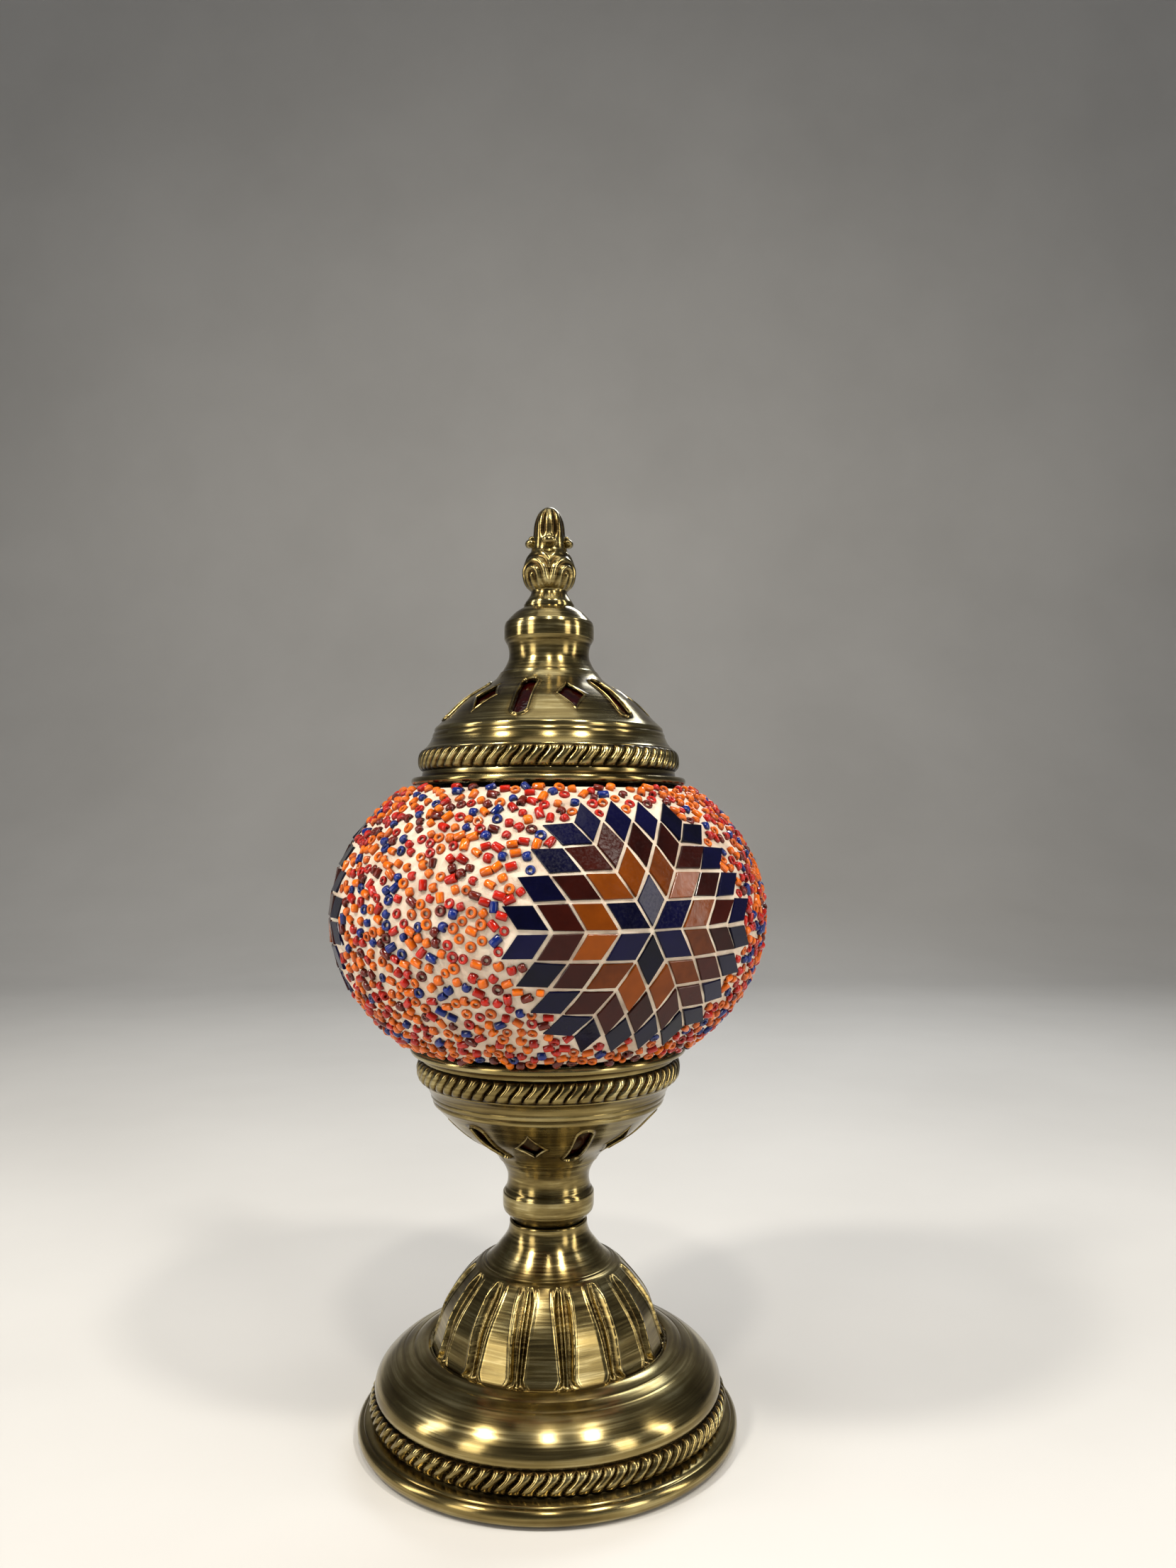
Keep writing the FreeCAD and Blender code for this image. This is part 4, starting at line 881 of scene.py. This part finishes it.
def make_grout():
    """The cement that holds the mosaic: low between beads, nearly flush between the diamonds."""
    random = np.random.default_rng(3)
    columns = 840
    limit = math.asin(GROUT_EDGE / GROUT_HALF_HEIGHT)
    rise = np.linspace(-limit, limit, 210)
    angles = np.arange(columns) * TURN / columns
    radius = GROUT_RADIUS * np.cos(rise)[:, None]
    height = GROUT_HALF_HEIGHT * np.sin(rise)[:, None]
    points = round_axis(radius, angles[None, :], height)
    flat = points.reshape(-1, 3)
    outside = distance_outside_tiles(flat).reshape(points.shape[:2])
    waves = sum(np.sin(flat @ random.normal(0, 0.55, 3) + random.uniform(0, TURN))
                for _ in range(12)).reshape(points.shape[:2]) / 3.5
    between_tiles = np.clip(1 - (outside - 0.6) / 1.6, 0, 1)
    raised = 0.55 + 0.12 * waves + between_tiles * 0.55
    edge = np.clip((limit - np.abs(rise)) / 0.03, 0, 1)[:, None] ** 0.5
    points = points + globe_normal(points) * (raised * edge)[..., None]
    surface = Surface()
    surface.add_grid(points + (0, 0, MIDDLE))
    inner = round_axis((GROUT_RADIUS - 0.8) * np.cos(rise[::-1])[:, None], angles[None, :],
                       (GROUT_HALF_HEIGHT - 0.8) * np.sin(rise[::-1])[:, None])
    surface.add_grid(inner + (0, 0, MIDDLE))
    made = surface.to_object("grout", grout(), crease=80.0, weld=0.0)
    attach(made, "globe")
    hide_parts("grout_layer")


BEAD_SPACING = 3.4
BEAD_MARGIN = 1.7
BEAD_TRIES = 60000


def bead_places():
    """Places of the beads on the grout, no two closer than the spacing and none on a diamond."""
    random = np.random.default_rng(11)
    rise = np.arcsin(random.uniform(-1, 1, BEAD_TRIES) * 0.99 * GROUT_EDGE / GROUT_HALF_HEIGHT)
    angle = random.uniform(0, TURN, BEAD_TRIES)
    points = round_axis(GROUT_RADIUS * np.cos(rise), angle, GROUT_HALF_HEIGHT * np.sin(rise))
    points = points[distance_outside_tiles(points) > BEAD_MARGIN]
    cell = BEAD_SPACING
    taken = {}
    kept = []
    for point in points:
        key = tuple((point // cell).astype(int))
        neighbours = [other for dx in (-1, 0, 1) for dy in (-1, 0, 1) for dz in (-1, 0, 1)
                      for other in taken.get((key[0] + dx, key[1] + dy, key[2] + dz), ())]
        if neighbours:
            nearest = np.linalg.norm(np.array(neighbours) - point, axis=1).min()
            if nearest < BEAD_SPACING:
                continue
        taken.setdefault(key, []).append(point)
        kept.append(point)
    return np.array(kept)


def closed_ring(section, columns):
    """A closed (radius, height) section turned into a ring about Z."""
    angles = np.arange(columns) * TURN / columns
    points = np.stack([section[:, :1] * np.cos(angles), section[:, :1] * np.sin(angles),
                       section[:, 1:] * np.ones_like(angles)], axis=-1)
    rows = len(section)
    index = np.arange(rows * columns).reshape(rows, columns)
    index = np.vstack([index, index[:1]])
    index = np.hstack([index, index[:, :1]])
    quads = np.stack([index[:-1, :-1], index[1:, :-1], index[1:, 1:], index[:-1, 1:]], axis=-1)
    return points.reshape(-1, 3), quads.reshape(-1, 4)


def bead_shape(hole, outer, half_length, columns, rounding):
    """A bead about Z with a hole: a rounded ring, or a short tube when the rounding is low."""
    turn = np.arange(12) * TURN / 12
    middle = (hole + outer) / 2
    radius = middle + (outer - hole) / 2 * np.sign(np.cos(turn)) * np.abs(np.cos(turn)) ** rounding
    height = half_length * np.sign(np.sin(turn)) * np.abs(np.sin(turn)) ** rounding
    return closed_ring(np.stack([radius, height], axis=1), columns)


BEAD_KINDS = (
    # share, shape, lying on its side, height of its middle above the grout
    (0.34, bead_shape(0.66, 1.85, 0.80, 18, 1.0), False, 0.70),
    (0.30, bead_shape(0.40, 1.45, 1.85, 16, 0.42), True, 0.72),
    (0.36, bead_shape(0.28, 1.68, 1.38, 16, 0.85), True, 0.55),
)


def make_beads():
    """The seed beads, one object for each colour. The side of a bead that faces out carries painted
    light, and its low side carries painted shade."""
    random = np.random.default_rng(23)
    places = bead_places()
    shares = np.array([share for share, _ in BEAD_COLOURS.values()])
    colours = random.choice(len(shares), len(places), p=shares / shares.sum())
    kinds = random.choice(len(BEAD_KINDS), len(places), p=[kind[0] for kind in BEAD_KINDS])
    spins = random.uniform(0, TURN, len(places))
    scales = random.uniform(0.92, 1.12, len(places))
    shades = random.uniform(0, 1, len(places))
    tips = random.normal(0, 0.16, (len(places), 3))
    normals = globe_normal(places)
    for number, (colour, (_, material)) in enumerate(BEAD_COLOURS.items()):
        surface = Surface()
        for i in np.flatnonzero(colours == number):
            _, (shape, quads), lying, lift = BEAD_KINDS[kinds[i]]
            up = normals[i] + tips[i]
            up /= np.linalg.norm(up)
            side = np.cross(up, (math.cos(spins[i]), math.sin(spins[i]), 0.4))
            side /= np.linalg.norm(side)
            third = np.cross(up, side)
            axes = np.array([side, up, -third]) if lying else np.array([side, third, up])
            points = shape * scales[i] @ axes + places[i] + normals[i] * lift + (0, 0, MIDDLE)
            # Painted light and shade: the crest of a bead that faces out is bright, its low side dark.
            raised = shape @ axes @ normals[i]
            crest = (raised - raised.min()) / np.ptp(raised)
            surface.add_quads(points, quads, 0.3 * shades[i] + 0.7 * crest ** 3)
        made = surface.to_object("beads_" + colour, material, crease=70.0, weld=0.0)
        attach(made, "globe")
        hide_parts("bead_layer")


# ---------------------------------------------------------------- studio

def make_floor():
    """A pale sweep under and behind the lamp."""
    bend = np.linspace(0, math.pi / 2, 40)
    curve = np.stack([1.2 + 0.9 * np.sin(bend), 0.9 - 0.9 * np.cos(bend)], axis=1)
    line = np.vstack([[(-2.0, 0.0)], curve, [(2.1, 3.2)]])
    width = np.linspace(-4, 4, 9)
    points = np.stack(np.broadcast_arrays(width[None, :], line[:, :1], line[:, 1:]), axis=-1) / MM
    surface = Surface()
    surface.add_grid(points, closed=False)
    material = mottled("floor_paint", ((0.60, 0.59, 0.57), (0.66, 0.65, 0.63)), 3, (0.55, 0.7),
                       (60, 0.05))
    made = surface.to_object("floor", material, weld=0.0)


def area_light(name, place, aim, size, power, colour=(1.0, 0.95, 0.88)):
    data = bpy.data.lights.new(name, "AREA")
    data.shape = "RECTANGLE"
    data.size, data.size_y = size
    data.energy = power
    data.color = colour
    made = bpy.data.objects.new(name, data)
    made.location = place
    direction = Vector(aim) - Vector(place)
    made.rotation_euler = direction.to_track_quat("-Z", "Y").to_euler()
    scene.collection.objects.link(made)


def make_lights():
    world = bpy.data.worlds.new("studio")
    world.use_nodes = True
    background = world.node_tree.nodes["Background"]
    background.inputs["Color"].default_value = (0.80, 0.82, 0.86, 1)
    background.inputs["Strength"].default_value = 0.15
    scene.world = world
    scene.view_settings.view_transform = "Standard"
    middle = (0, 0, MIDDLE * MM)
    warm = (1.0, 0.94, 0.84)
    area_light("key", (-0.60, -0.42, 1.01), middle, (0.13, 0.13), 7.0, warm)
    area_light("second", (0.42, -0.51, 1.06), middle, (0.11, 0.11), 5.5, warm)
    area_light("spark", (0.0, -0.59, 1.10), middle, (0.08, 0.08), 3.0, warm)
    area_light("broad_left", (-0.80, -0.74, 0.40), middle, (0.26, 0.60), 3.0, warm)
    area_light("broad_right", (0.80, -0.72, 0.40), middle, (0.22, 0.60), 2.5, warm)
    area_light("left", (-1.1, -0.15, 0.55), middle, (0.16, 0.8), 4)
    area_light("right", (1.1, -0.25, 0.50), middle, (0.14, 0.8), 4)
    area_light("back", (0.3, 0.9, 1.0), middle, (0.6, 0.2), 5, (0.9, 0.95, 1.0))
    area_light("top", (0, -0.1, 1.6), middle, (0.7, 0.7), 2.5, (1.0, 0.98, 0.95))


# ---------------------------------------------------------------- the lamp

UPPER_TURN = math.radians(14.3)
LOWER_TURN = math.radians(-10.8)

make_foot()
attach(make_cap("cap_above", "upper_cap", 1, UPPER_TURN, 3.3), "top_cap")
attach(make_cap("cap_below", "lower_cap", -1, LOWER_TURN, 5.2), "base")
make_finial()
make_tiles()
make_grout()
make_beads()
make_floor()
make_lights()
